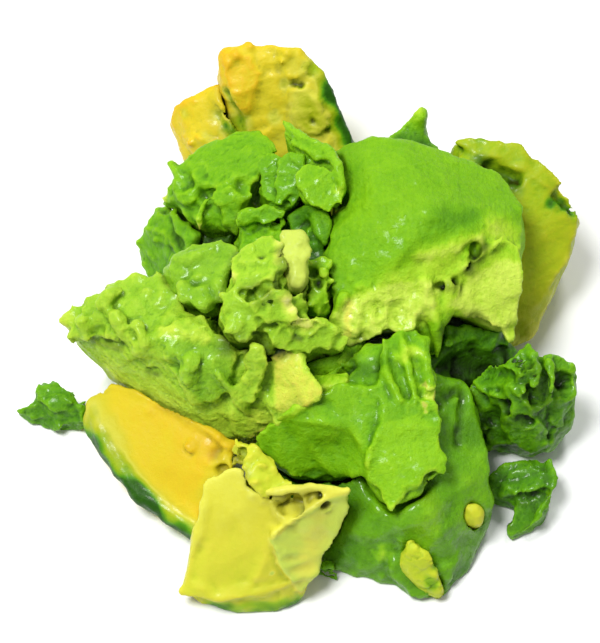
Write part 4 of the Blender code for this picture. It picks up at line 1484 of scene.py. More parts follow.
@dataclass
class MashedPieces(Group):
    """The broad mashed block on the left and the lobe on it."""

    wisp: float = 2.0
    thin_layer: float = 2.2
    layer: float = 2.8
    thick_layer: float = 3.2

    def chunks(self) -> Iterator[Chunk]:
        """Its chunks, in order."""
        yield self.broad_block()
        yield self.mashed_lobe()

    def broad_block(self) -> Chunk:
        """The broad block: a mashed top, a grained side and a pale torn corner."""
        return Chunk(
            "broad_block", MASHED, 0.5, voxel=0.46, sink=1.3, relax=1, fray=0.3, wet=0.4, seam=16,
            undercut=0.8,
            crumbs=(
                Crumbs(20, (0.9, 2.4), around=(10, 60, 90), to=(35, 42, 95), reach=5),
                Crumbs(20, (0.8, 2.0), around=(42, 45, 97), to=(68, 38, 98), reach=5),
                Crumbs(10, (1.0, 2.4), around=(22, 78, 95), to=(35, 80, 97), reach=6),
                Crumbs(14, (0.8, 2.0), around=(55, 28, 90), to=(72, 16, 75), reach=6),
            ),
            strands=(
                Strand(((17, 67, 97), (20, 72, 99), (24, 76, 99)), (1.4, 2.0, 1.4)),
                Strand(((24, 58, 97), (27, 50, 94)), (2.2, 1.8)),
                Strand(((33, 50, 98), (36, 40, 94)), (2.0, 1.6)),
                Strand(((10, 60, 88), (12, 52, 83)), (1.8, 1.5)),
                Strand(((55, 30, 94), (53, 20, 84), (56, 13, 74)), (2.2, 2.2, 1.4)),
                Strand(((65, 22, 90), (69, 16, 85), (73, 12, 78), (77, 7, 66)), (0.9, 1.2, 1.4, 0.7)),
            ),
            leaves=(
                Leaf(((2, 68, 81), (10, 79, 88), (18, 77, 95), (24, 88, 94), (31, 91, 95), (42, 89, 95),
                      (48, 78, 99), (50, 62, 100), (52, 54, 100), (47, 48, 99), (41, 38, 96),
                      (35, 43, 95), (29, 47, 93), (24, 57, 95), (17, 58, 91), (10, 53, 83), (4, 50, 82)),
                      self.thick_layer, jag=0.5),
                Leaf(((41, 43, 100), (51, 53, 102), (61, 49, 102), (71, 40, 99), (73, 29, 93),
                      (71, 18, 82), (63, 11, 73), (56, 13, 76), (50, 22, 86), (49, 31, 94), (43, 34, 95)),
                      self.layer, jag=0.5),
                Leaf(((78, 36, 102), (84, 33, 101), (86, 24, 95), (83, 17, 87), (79, 10, 78), (76, 5, 68),
                      (74, 10, 75), (72, 16, 84), (75, 26, 94)), self.wisp),
                Leaf(((86, 40, 95), (97, 38, 95), (101, 24, 92), (107, 13, 89), (106, 6, 84), (96, 2, 75),
                      (87, -1, 64), (84, 12, 72), (88, 24, 83)), self.thin_layer, jag=0.15),
                Leaf(((70, 14, 72), (82, 17, 76), (93, 13, 70), (100, 13, 68), (91, 6, 58), (78, -1, 45),
                      (69, 1, 50)), self.wisp, jag=0.15),
            ),
            plates=(
                Plate(((87, 40, 91), (98, 38, 92), (100, 26, 88), (108, 12, 85), (96, 0, 74), (88, 8, 70),
                       (88, 24, 80)), ripe=0.34, jag=0.2),
                Plate(((2, 68, 79), (24, 88, 92), (42, 89, 93), (54, 54, 99), (41, 36, 95), (24, 56, 94),
                       (4, 49, 82)), ripe=-0.04, wet=0.2),
                Plate(((41, 43, 97), (51, 53, 98), (71, 40, 96), (72, 20, 80), (60, 11, 68),
                       (49, 24, 86)), ripe=-0.12, wet=0.3),
            ),
            coarse=(SOFT_HILLS, Texture(Pattern.SWELL, (4.5, 4.5, 4.5), 0.5, Where.TOPS, warp=0.8)),
            fine=(
                SMALL_HILLS, FINE_TORN, GRAIN,
                Texture(Pattern.CHIP, (10, 10, 2.2), 0.22, Where.WALLS, turn=(0, 35, 0), warp=0.4),
            ),
            dabs=(
                Dab((2, 63, 79), 4, ripe=0.3, shade=0.12),
                Dab((44, 47, 98), 2.0, lift=0.6, ripe=0.25, to=(60, 42, 98)),
                Dab((14, 50, 80), 1.3, lift=-1.6, shade=0.5, to=(25, 44, 87)),
                Dab((36, 30, 76), 0.9, lift=-1.2, shade=0.6, to=(39, 28, 79)),
                Dab((72, 44, 95), 2.2, lift=-5.0, shade=0.7, to=(86, 42, 95)),
                Dab((80, -2, 45), 2.0, lift=0.2, ripe=0.3, to=(98, 10, 62)),
                Dab((82, 8, 60), 6.0, ripe=0.22),
                Dab((20, 35, 40), 13, ripe=0.2, to=(62, 0, 40)),
            ),
        )

    def mashed_lobe(self) -> Chunk:
        """The wet lobe that lies on the block's back."""
        return Chunk(
            "mashed_lobe", MASHED, 0.34, wet=0.6, fray=0.15, swell=0.35, undercut=0.9,
            crumbs=(Crumbs(10, (0.8, 1.8), over=0.2),),
            strands=(
                Strand(((60, 85, 98), (35, 70, 98), (15, 75, 85)), (1.6, 1.5, 1.0)),
                Strand(((28, 28, 90), (30, 16, 86)), (2.2, 2.3)),
                Strand(((49, 20, 92), (52, 6, 88)), (2.3, 2.5)),
                Strand(((72, 30, 95), (76, 16, 90)), (1.8, 1.9)),
            ),
            leaves=(
                Leaf(((5, 62, 82), (12, 85, 86), (45, 98, 100), (85, 98, 108), (98, 75, 110),
                      (80, 50, 105), (50, 45, 98), (25, 50, 90)), self.wisp, jag=0.5),
            ),
            coarse=(LUMPS,),
            fine=(SMALL_HILLS, FINE_TORN, GRAIN),
            dabs=(Dab((5, 10, 60), 3.0, lift=-1.5, shade=0.4, to=(60, 0, 60)),),
        )


@dataclass
class CurdPieces(Group):
    """The crumbled curds in the middle, the pale finger on them and the lump below."""

    wisp: float = 1.7
    thin_layer: float = 2.0
    layer: float = 2.2
    thick_layer: float = 2.4

    def chunks(self) -> Iterator[Chunk]:
        """Its chunks, in order."""
        yield self.curd_clump()
        yield self.pale_finger()
        yield self.side_fold()
        yield self.middle_lump()

    def curd_clump(self) -> Chunk:
        """The crumbled curds, with a hanging torn hem."""
        return Chunk(
            "curd_clump", CURD, 0.47, voxel=0.42, sink=1.2, wet=0.4,
            crumbs=(
                Crumbs(26, (1.0, 2.4), over=-0.1, lean=0.7),
                Crumbs(20, (0.8, 2.0), over=0.0, lean=0.7, bit=Bit.FLAKE),
                Crumbs(22, (0.8, 1.9), around=(38, 36, 92), to=(30, 10, 60), reach=7, lean=0.8),
            ),
            leaves=(
                Leaf(((27, 89, 93), (44, 95, 95), (54, 85, 101), (54, 56, 102), (46, 43, 102),
                      (36, 45, 100), (29, 37, 98), (20, 43, 92), (12, 40, 88), (12, 67, 88),
                      (19, 81, 90)), self.thick_layer, jag=0.5),
                Leaf(((33, 32, 95), (50, 40, 99), (59, 36, 96), (64, 25, 83), (56, 14, 74), (48, 17, 76),
                      (40, 12, 78), (29, 22, 86)), self.layer, jag=0.5),
                Leaf(((4, 42, 84), (18, 38, 91), (29, 25, 88), (34, 8, 75), (22, 2, 63), (15, 8, 68),
                      (8, 10, 72)), self.thin_layer, jag=0.5),
                Leaf(((46, 10, 68), (63, 21, 78), (81, 20, 72), (106, 12, 52), (96, 3, 45), (85, 4, 47),
                      (73, -1, 46), (60, 0, 50), (53, -3, 51), (42, 0, 58)), self.wisp, jag=0.45),
            ),
            coarse=(LUMPS, TORN),
            fine=(SMALL_HILLS, FINE_TORN, GRAIN),
            dabs=(
                Dab((38, 37, 95), 1.8, lift=-3.5, shade=0.5, to=(28, 36, 92)),
                Dab((50, 43, 95), 1.4, lift=-2.5, shade=0.5),
                Dab((56, 75, 96), 1.3, lift=-3.5, shade=0.6, to=(56, 46, 95)),
                Dab((55, 31, 90), 2.8, lift=0.3, ripe=0.4, to=(60, 24, 80)),
                Dab((48, 62, 98), 2.2, lift=0.2, ripe=0.25, to=(50, 85, 98)),
                Dab((15, 55, 88), 2.2, ripe=0.3),
                Dab((35, 70, 95), 0.7, lift=-1.0, shade=0.6, to=(37, 68, 95)),
                Dab((63, 9, 62), 0.7, lift=-1.0, shade=0.7, to=(65, 8, 62)),
                Dab((33, 3, 54), 2.6, lift=-3.5, shade=0.6, to=(20, 0, 50)),
                Dab((62, 14, 72), 3.0, lift=0.2, ripe=0.3, to=(72, 16, 72)),
                Dab((75, 45, 75), 3.0, lift=-2.5, shade=0.5),
            ),
        )

    def pale_finger(self) -> Chunk:
        """The pale finger on the curds."""
        return Chunk(
            "pale_finger", PALE, 0.95, voxel=0.4, fray=0.15, swell=0.5, seam=4, contact_shade=0.5, undercut=0.4,
            crumbs=(Crumbs(12, (0.6, 1.3)),),
            coarse=(Texture(Pattern.SWELL, (3.5, 3.5, 3.5), 0.4),),
            fine=(FINE_TORN, GRAIN),
            dabs=(Dab((0, 60, 70), 1.5, ripe=-0.3, to=(10, 10, 60)),),
        )

    def side_fold(self) -> Chunk:
        """The fold between the curds and the dome."""
        return Chunk(
            "side_fold", GREEN, 0.52, voxel=0.42, wet=0.6, fray=0.3,
            crumbs=(Crumbs(12, (0.7, 1.8)), Crumbs(8, (0.7, 1.6), bit=Bit.FLAKE)),
            coarse=(TORN,),
            fine=(FINE_TORN, GRAIN),
            dabs=(Dab((50, 45, 90), 1.6, lift=-2.0, shade=0.5, to=(40, 60, 90)),),
        )

    def middle_lump(self) -> Chunk:
        """The lump under the curds, of which only a little shows."""
        return Chunk(
            # its low ripeness and the wide dab at its left end paint the shade of the recess it lies in
            "middle_lump", GREEN, 0.24, voxel=0.55, wet=0.5, fray=0.3, seam=20,
            crumbs=(
                Crumbs(20, (0.8, 2.0), around=(78, 65, 95), reach=8),
                Crumbs(14, (0.8, 1.8), over=0.3, bit=Bit.FLAKE),
            ),
            strands=(
                Strand(((72, 80, 97), (78, 72, 102), (80, 62, 100)), (1.4, 2.0, 1.4)),
                Strand(((80, 82, 102), (84, 70, 102), (83, 58, 98)), (1.2, 1.6, 1.2)),
            ),
            coarse=(SOFT_HILLS, TORN),
            fine=(SMALL_HILLS, FINE_TORN, GRAIN),
            dabs=(
                Dab((0, 90, 90), 14, lift=-2.5, shade=0.8, to=(30, 75, 95)),
                Dab((80, 70, 100), 7, ripe=0.15),
            ),
        )


@dataclass
class DomePieces(Group):
    """The large dome with its smooth skin side up, and the dark lump under its edge."""

    thin_layer: float = 1.8
    thick_layer: float = 2.2

    def chunks(self) -> Iterator[Chunk]:
        """Its chunks, in order."""
        yield self.skin_dome()
        yield self.ledge_lump()

    def skin_dome(self) -> Chunk:
        """The dome: smooth and green above, pale and torn along its hem."""
        return Chunk(
            "skin_dome", GREEN, 0.45, voxel=0.46, sink=0.5, wet=0.1, painted_ridge_light=0.08, undercut=1.0,
            crumbs=(
                Crumbs(24, (0.6, 1.5), around=(8, 6, 70), to=(44, 7, 70), reach=4, bit=Bit.FLAKE),
                Crumbs(20, (0.6, 1.5), around=(8, 12, 74), to=(44, 12, 72), reach=4),
                Crumbs(12, (0.6, 1.4), around=(2, 30, 80), to=(10, 17, 78), reach=5),
            ),
            strands=(
                Strand(((48, 20, 78), (54, 6, 65), (54.5, -3, 51)), (1.9, 1.6, 0.7)),
                Strand(((60, 20, 76), (59, 12, 69), (58.3, 5, 60)), (1.4, 1.2, 0.7)),
                Strand(((9, 14, 77), (5, 8, 69), (12, 3, 63)), (1.5, 1.7, 1.2)),
                Strand(((63, 24, 79), (74, 30, 82), (86, 38, 84)), (0.7, 1.0, 0.7)),
            ),
            leaves=(
                Leaf(((63, 25, 76), (75, 32, 79), (88, 40, 80), (95, 38, 77), (97, 25, 72), (96, 15, 63),
                      (94.5, 6, 52), (90, 3, 52), (86, 8, 58), (77, 9, 61), (68, 10, 63), (60, 12, 71)),
                      self.thin_layer, jag=0.35),
                Leaf(((42, 28, 81), (66, 32, 82), (66, 18, 75), (60, 12, 70), (50, 8, 70), (42, 8, 71)),
                      self.thick_layer, jag=0.4),
                Leaf(((12, 23, 78), (31, 27, 82), (50, 27, 81), (50, 11, 74), (44, 5, 70), (37, 1, 67),
                      (30, 4, 68), (23, -1, 67), (14, -2, 62), (6, 0, 62), (2, 8, 70)), self.thick_layer,
                      jag=0.6),
            ),
            plates=(
                Plate(((0, 7, 66), (12, 18, 76), (31, 24, 84), (48, 31, 88), (63, 37, 88), (76, 43, 87),
                       (90, 48, 81), (98, 45, 80), (98, 16, 60), (90, 2, 50), (60, 10, 68), (44, 3, 70),
                       (23, -4, 66), (3, -3, 60)), ripe=0.17, soft=5, depth=14),
                Plate(((60, 13, 72), (70, 22, 77), (86, 30, 80), (96, 30, 76), (97, 15, 62), (93, 3, 50),
                       (78, 9, 60)), ripe=0.12),
                Plate(((0, 8, 68), (14, 15, 78), (31, 17, 82), (48, 20, 82), (56, 18, 77), (50, 5, 68),
                       (37, 0, 66), (9, -4, 60)), ripe=0.1, wet=0.4),
            ),
            coarse=(
                SOFT_HILLS,
                Texture(Pattern.CHIP, (6, 6, 6), 0.35, around=(30, 10, 70), reach=14, warp=0.8),
            ),
            fine=(
                SMALL_HILLS,
                Texture(Pattern.SWELL, (1.3, 11, 5), 0.08, warp=0.6),
                GRAIN,
                Texture(Pattern.CHIP, (2.6, 2.6, 2.6), 0.14, around=(30, 10, 70), reach=16, warp=0.6),
                Texture(Pattern.CHIP, (5, 3, 3), 0.16, around=(5, 40, 80), reach=14, warp=0.6),
            ),
            dabs=(
                Dab((46, 27, 88), 2.6, lift=0.4, ripe=0.12, to=(75, 36, 87)),
                Dab((70, 27, 79), 0.9, lift=-3.0, shade=0.8, to=(74.5, 33, 85)),
                Dab((57.5, 19.5, 75), 1.0, lift=-3.0, shade=0.8, to=(62, 21, 76)),
                Dab((72, 33, 85), 3.5, lift=-0.8, ripe=-0.12),
                # painted shade down its left wall
                Dab((3, 30, 60), 14, shade=0.25, ripe=-0.08, to=(12, 75, 70)),
                Dab((58, 40, 92), 6, lift=-0.5, ripe=-0.14, to=(68, 44, 90)),
                Dab((84, 46, 84), 6, ripe=0.1),
                Dab((11, 12, 76), 2.0, ripe=0.2, to=(12, 3, 66)),
                Dab((60, 6, 60), 3.0, lift=-2.5, shade=0.6, to=(72, 3, 55)),
            ),
        )

    def ledge_lump(self) -> Chunk:
        """The dark lump in the gap under the hem."""
        return Chunk(
            # its low ripeness and the shade dab paint the shade under the dome's hem
            "ledge_lump", GREEN, 0.19, fray=0.8, slope=(0, 0, 0.15), relax=3, wet=0.5,
            crumbs=(Crumbs(18, (0.8, 2.4)), Crumbs(14, (0.8, 2.4), bit=Bit.FLAKE)),
            coarse=(LUMPS, TORN),
            fine=(SMALL_HILLS, FINE_TORN),
            dabs=(Dab((40, 25, 75), 6, lift=-3.0, shade=0.7, to=(70, 20, 70)),),
        )


@dataclass
class RightPieces(Group):
    """The rear shell with its rim, the crumpled lump and the curled flake."""

    thin_layer: float = 1.6
    thick_layer: float = 2.6

    def chunks(self) -> Iterator[Chunk]:
        """Its chunks, in order."""
        yield self.rear_shell()
        yield self.crumpled_lump()
        yield self.curled_flake()

    def rear_shell(self) -> Chunk:
        """The shell behind the dome, with a rim that folds over."""
        return Chunk(
            "rear_shell", PIT_SIDE, 0.38, slope=(0.05, -0.1, -0.1), relax=3, fray=0.3, swell=0.3, wet=0.3,
            leaves=(
                Leaf(((-1, 83, 102), (20, 86, 103), (47, 82, 101), (70, 73, 95), (84, 65, 90),
                      (78, 61, 88), (62, 67, 93), (39, 74, 99), (16, 77, 100)), self.thick_layer,
                      jag=0.35),
            ),
            plates=(
                Plate(((-1, 81, 100), (20, 84, 100), (47, 80, 98), (70, 72, 91), (84, 64, 86),
                       (78, 61, 84), (62, 67, 89), (39, 73, 95), (16, 76, 96)), ripe=0.02, wet=0.3),
            ),
            coarse=(SOFT_HILLS,),
            fine=(SMALL_HILLS, GRAIN, Texture(Pattern.SWELL, (5, 1.3, 6), 0.08, turn=(0, 0, 30))),
            dabs=(
                Dab((20, 95, 90), 5, ripe=-0.35, to=(80, 80, 75)),
                Dab((24, 72, 96), 1.8, lift=-3.5, shade=0.6, ripe=-0.2, to=(47, 66, 90)),
                Dab((80, 60, 84), 1.8, lift=-2.4, ripe=-0.35, shade=0.1, to=(93, 55, 75)),
                Dab((90, 66, 82), 1.2, lift=0.6, ripe=0.12, to=(98, 57, 73)),
            ),
        )

    def crumpled_lump(self) -> Chunk:
        """The crumpled lump, with deep folds and bright ridges."""
        return Chunk(
            "crumpled_lump", GREEN, 0.3, voxel=0.45, sink=2.2, fray=0.3, wet=0.6, painted_ridge_light=0.16,
            crumbs=(Crumbs(16, (1.0, 3.0), lean=1.0, bit=Bit.FLAKE), Crumbs(10, (0.9, 2.2), lean=1.2)),
            leaves=(
                Leaf(((5, 65, 72), (18, 79, 80), (33, 75, 100), (51, 90, 100), (62, 90, 100),
                      (52, 60, 105), (47, 30, 104), (41, 18, 87), (32, 33, 92), (21, 39, 76),
                      (11, 50, 70)), self.thin_layer, jag=0.4),
                Leaf(((65, 84, 100), (81, 81, 96), (95, 77, 80), (99, 60, 70), (93, 35, 60), (85, 21, 48),
                      (74, 20, 60), (80, 50, 82), (70, 62, 95)), self.thin_layer, jag=0.4),
                Leaf(((30, 23, 72), (46, 18, 90), (64, 13, 70), (74, 6, 40), (58, -1, 30), (41, 3, 46),
                      (33, 12, 54)), self.thin_layer, jag=0.4),
            ),
            strands=(
                Strand(((55, 90, 98), (60, 60, 105), (55, 35, 105)), (1.0, 1.2, 0.9)),
                Strand(((70, 70, 100), (72, 40, 92), (62, 20, 80)), (1.0, 1.3, 0.9)),
                Strand(((90, 75, 85), (93, 50, 72), (84, 30, 56)), (1.0, 1.2, 0.9)),
            ),
            coarse=(Texture(Pattern.RIDGE, (9, 9, 9), 1.1, warp=1.0),),
            fine=(FINE_TORN, GRAIN),
            dabs=(
                Dab((56, 49, 98), 2.4, lift=-5.0, shade=0.6, to=(60, 30, 90)),
                Dab((81, 56, 79), 2.4, lift=-4.0, shade=0.6),
                Dab((36, 26, 75), 2.4, lift=-3.0, shade=0.5, to=(50, 12, 70)),
                Dab((20, 20, 50), 5, lift=-1.0, shade=0.5),
                Dab((90, 10, 40), 5, shade=0.3),
            ),
        )

    def curled_flake(self) -> Chunk:
        """The flake that curls down to the right."""
        return Chunk(
            "curled_flake", GREEN, 0.26, voxel=0.42, sink=1.3, wet=0.6, painted_ridge_light=0.16,
            leaves=(
                Leaf(((7, 90, 45), (31, 100, 55), (67, 100, 75), (93, 93, 90), (96, 68, 95), (85, 55, 93),
                      (55, 50, 85), (34, 54, 72), (19, 53, 55), (8, 68, 48)), self.thin_layer, jag=0.3),
            ),
            strands=(
                Strand(((93, 93, 95), (99, 62, 90), (88, 36, 75), (66, 14, 50), (42, 4, 35)),
                        (0.8, 1.0, 1.1, 1.0, 0.7)),
            ),
            coarse=(TORN,),
            fine=(FINE_TORN, GRAIN),
            dabs=(
                Dab((28, 32, 30), 2.2, lift=-2.0, shade=0.5),
                Dab((90, 40, 70), 1.4, ripe=0.35, to=(97, 75, 95)),
                Dab((50, 42, 70), 1.6, lift=-1.6, shade=0.3, to=(85, 48, 85)),
            ),
        )


@dataclass
class FrontPieces(Group):
    """The smooth mound in front, the slab on it and the scraps that lie about them."""

    thin_layer: float = 2.0
    thick_layer: float = 2.6

    def chunks(self) -> Iterator[Chunk]:
        """Its chunks, in order."""
        yield self.smooth_mound()
        yield self.front_slab()
        yield self.small_cube()
        yield self.torn_strip()
        yield self.pale_flake()
        yield self.yellow_crumb()
        yield self.floor_scrap()

    def smooth_mound(self) -> Chunk:
        """The wet mound, smooth on its skin side."""
        return Chunk(
            "smooth_mound", GREEN, 0.35, voxel=0.55, relax=3, fray=0.2, wet=0.8, painted_ridge_light=0.06,
            crumbs=(
                Crumbs(14, (0.8, 1.8), around=(79, 86, 92), reach=6),
                Crumbs(30, (0.6, 1.8), around=(40, 15, 20), to=(95, 10, 10), reach=6, bit=Bit.FLAKE),
            ),
            leaves=(
                Leaf(((55, 12, 35), (62, 14, 40), (68, 8, 30), (74, 0, 12), (68, -2, 8), (60, 2, 14),
                      (55, 6, 20)), self.thin_layer, jag=0.4),
            ),
            coarse=(SOFT_HILLS,),
            fine=(SMALL_HILLS, Texture(Pattern.SWELL, (3, 10, 6), 0.28, turn=(0, 0, -20)), GRAIN),
            dabs=(
                Dab((71, 29, 80), 6, ripe=0.14, to=(67, 15, 50)),
                Dab((90, 55, 75), 6, ripe=0.08, to=(90, 30, 50)),
                Dab((53, 16, 40), 2.6, lift=0.2, ripe=0.26, rough=0.6),
                Dab((83, 89, 90), 2.0, lift=-1.0, shade=0.4, to=(75, 80, 90)),
                Dab((86, 88, 85), 1.6, lift=-0.8, shade=0.3, to=(84, 62, 88)),
                Dab((35, 20, 30), 8, ripe=-0.08),
                # painted shadow along its left side, below the slab
                Dab((5, 30, 50), 15, ripe=-0.08, shade=0.28, to=(30, 62, 80)),
                Dab((60, 50, 85), 7, ripe=-0.04, shade=0.18, to=(95, 75, 80)),
                Dab((90, 10, 10), 7, ripe=-0.08),
                Dab((55, 35, 70), 9, ripe=0.06, wet=0.3),
            ),
        )

    def front_slab(self) -> Chunk:
        """The slab with its ribbed neck and its hanging flap."""
        return Chunk(
            "front_slab", GREEN, 0.42, voxel=0.46, sink=1.7, relax=1, wet=0.35, undercut=1.0,
            crumbs=(
                Crumbs(14, (0.6, 1.4), around=(84, 63, 89), to=(90, 50, 80), reach=4),
                Crumbs(18, (0.6, 1.6), around=(93, 78, 90), to=(97, 45, 80), reach=3, bit=Bit.FLAKE),
                Crumbs(12, (0.8, 2.2), around=(84, 87, 96), reach=5, bit=Bit.FLAKE),
            ),
            leaves=(
                Leaf(((2, 46, 60), (17, 52, 82), (32, 60, 93), (50, 68, 96), (66, 66, 95), (70, 50, 88),
                      (66, 32, 80), (61, 20, 68), (48, 24, 45), (40, 27, 42), (33, 24, 38), (22, 27, 42),
                      (11, 35, 49)), self.thin_layer, jag=0.4),
                Leaf(((66, 70, 97), (67, 86, 100), (75, 99, 102), (86, 102, 101), (94, 94, 97),
                      (94, 76, 93), (97, 66, 89), (98, 51, 88), (98, 38, 85), (101, 25, 80),
                      (100, 15, 77), (92, 17, 80), (89, 11, 75), (80, 8, 71), (77, 2, 66), (74, -4, 64),
                      (69, 4, 63), (67, 11, 67), (61, 17, 70), (60, 27, 78), (64, 35, 85), (69, 45, 89),
                      (69, 58, 94)), self.thin_layer, jag=0.5),
            ),
            strands=(
                Strand(((70, 95, 100), (71, 75, 98), (78, 58, 93)), (0.8, 1.1, 0.8)),
                Strand(((79, 98, 101), (82, 78, 98), (86, 60, 92)), (0.7, 0.9, 0.7)),
                Strand(((90, 95, 98), (92, 80, 95), (94, 66, 92)), (0.7, 0.9, 0.7)),
            ),
            plates=(
                Plate(((70, 45, 88), (87, 52, 86), (97, 41, 87), (100, 20, 78), (88, 11, 75),
                       (75, -5, 61), (60, 12, 61), (60, 26, 77)), ripe=0.09),
                Plate(((2, 44, 56), (17, 52, 80), (32, 60, 92), (50, 66, 94), (64, 62, 93), (60, 20, 66),
                       (33, 24, 35), (11, 33, 47)), ripe=0.03),
            ),
            coarse=(SOFT_HILLS,),
            fine=(
                SMALL_HILLS, GRAIN,
                Texture(Pattern.CHIP, (1.6, 1.6, 1.6), 0.2, around=(88, 60, 87), reach=7),
                Texture(Pattern.SWELL, (2.4, 9, 4), 0.25, around=(60, 70, 95), reach=10),
            ),
            dabs=(
                Dab((92, 62, 89), 3.6, lift=0.2, ripe=0.34, rough=0.6),
                Dab((91, 55, 89), 1.5, lift=-0.3, ripe=0.46, shade=0.3, rough=0.8),
                Dab((93, 69, 91), 1.2, lift=-0.3, ripe=0.46, shade=0.25, rough=0.8),
                Dab((95, 66, 86), 1.8, lift=0.2, ripe=0.3, to=(96, 50, 82)),
                Dab((82, 87, 96), 4.0, lift=0.3, ripe=0.26, rough=0.6),
                Dab((17, 51, 80), 2.0, lift=0.2, ripe=0.15, to=(30, 57, 90)),
                Dab((27, 20, 30), 4, lift=-0.5, ripe=-0.15, shade=0.3, to=(55, 18, 40)),
                Dab((76, -3, 45), 5, lift=-2.2, shade=0.3),
                Dab((97, 12, 62), 5, lift=-2.0, shade=0.3),
                Dab((66, 80, 97), 4, lift=-0.4, ripe=-0.1, shade=0.3, to=(55, 80, 95)),
                Dab((34, 71, 93), 2.4, lift=-3.0, shade=0.35, to=(52, 84, 96)),
            ),
        )

    def small_cube(self) -> Chunk:
        """The small cut cube behind the slab."""
        return Chunk(
            # painted light and shade: its slope and the dab on its top leave the top darker and the front
            # lighter
            "small_cube", GREEN, 0.46, slope=(0.05, -0.2, -0.1), voxel=0.4, relax=1, fray=0.15, seam=0,
            lip=3.0, undercut=0, contact_shade=0.3,
            coarse=(Texture(Pattern.SWELL, (5, 5, 5), 0.3),),
            fine=(FINE_TORN, GRAIN),
            leaves=(
                Leaf(((2, 16, 80), (26, 0, 95), (50, -4, 103), (70, 1, 107), (68, -28, 112),
                      (50, -36, 108), (26, -38, 102), (7, -22, 90)), self.thick_layer, jag=0.08),
            ),
            dabs=(
                # painted shade over its top
                Dab((35, 70, 95), 4, lift=-0.5, ripe=-0.3, shade=0.6),
                Dab((62, 30, 100), 1.4, lift=0.3, ripe=0.1, to=(90, 90, 95)),
            ),
        )

    def torn_strip(self) -> Chunk:
        """The pale torn strip between the block and the slab."""
        return Chunk(
            "torn_strip", PALE, 0.5, voxel=0.42, relax=1, fray=0.3, wet=0.4,
            crumbs=(Crumbs(22, (0.6, 1.8), lean=1.0, bit=Bit.FLAKE), Crumbs(12, (0.5, 1.2), lean=1.0)),
            coarse=(TORN,),
            fine=(FINE_TORN,),
            dabs=(Dab((14, 70, 89), 1.8, lift=-2.5, shade=0.7),),
        )

    def pale_flake(self) -> Chunk:
        """The pale flake that leans on the mound."""
        return Chunk(
            "pale_flake", PALE, 0.42, voxel=0.38, swell=0.5, relax=1, seam=0, contact_shade=0.3, undercut=0.6,
            fine=(Texture(Pattern.CHIP, (3, 3, 2), 0.2), GRAIN),
            dabs=(Dab((80, 10, 50), 3, ripe=-0.3), Dab((90, 60, 70), 2, ripe=-0.3)),
        )

    def yellow_crumb(self) -> Chunk:
        """The round crumb on the mound."""
        return Chunk(
            "yellow_crumb", PALE, 0.5, voxel=0.38, swell=0.6, fray=0.1, seam=0, contact_shade=0.15, undercut=0,
            fine=(Texture(Pattern.SWELL, (2.5, 2.5, 2), 0.2), GRAIN),
        )

    def floor_scrap(self) -> Chunk:
        """The scrap on the floor beside the mound."""
        return Chunk(
            "floor_scrap", GREEN, 0.3, voxel=0.42, fray=0.4,
            crumbs=(Crumbs(8, (0.5, 1.2), bit=Bit.FLAKE),),
            fine=(FINE_TORN,),
        )


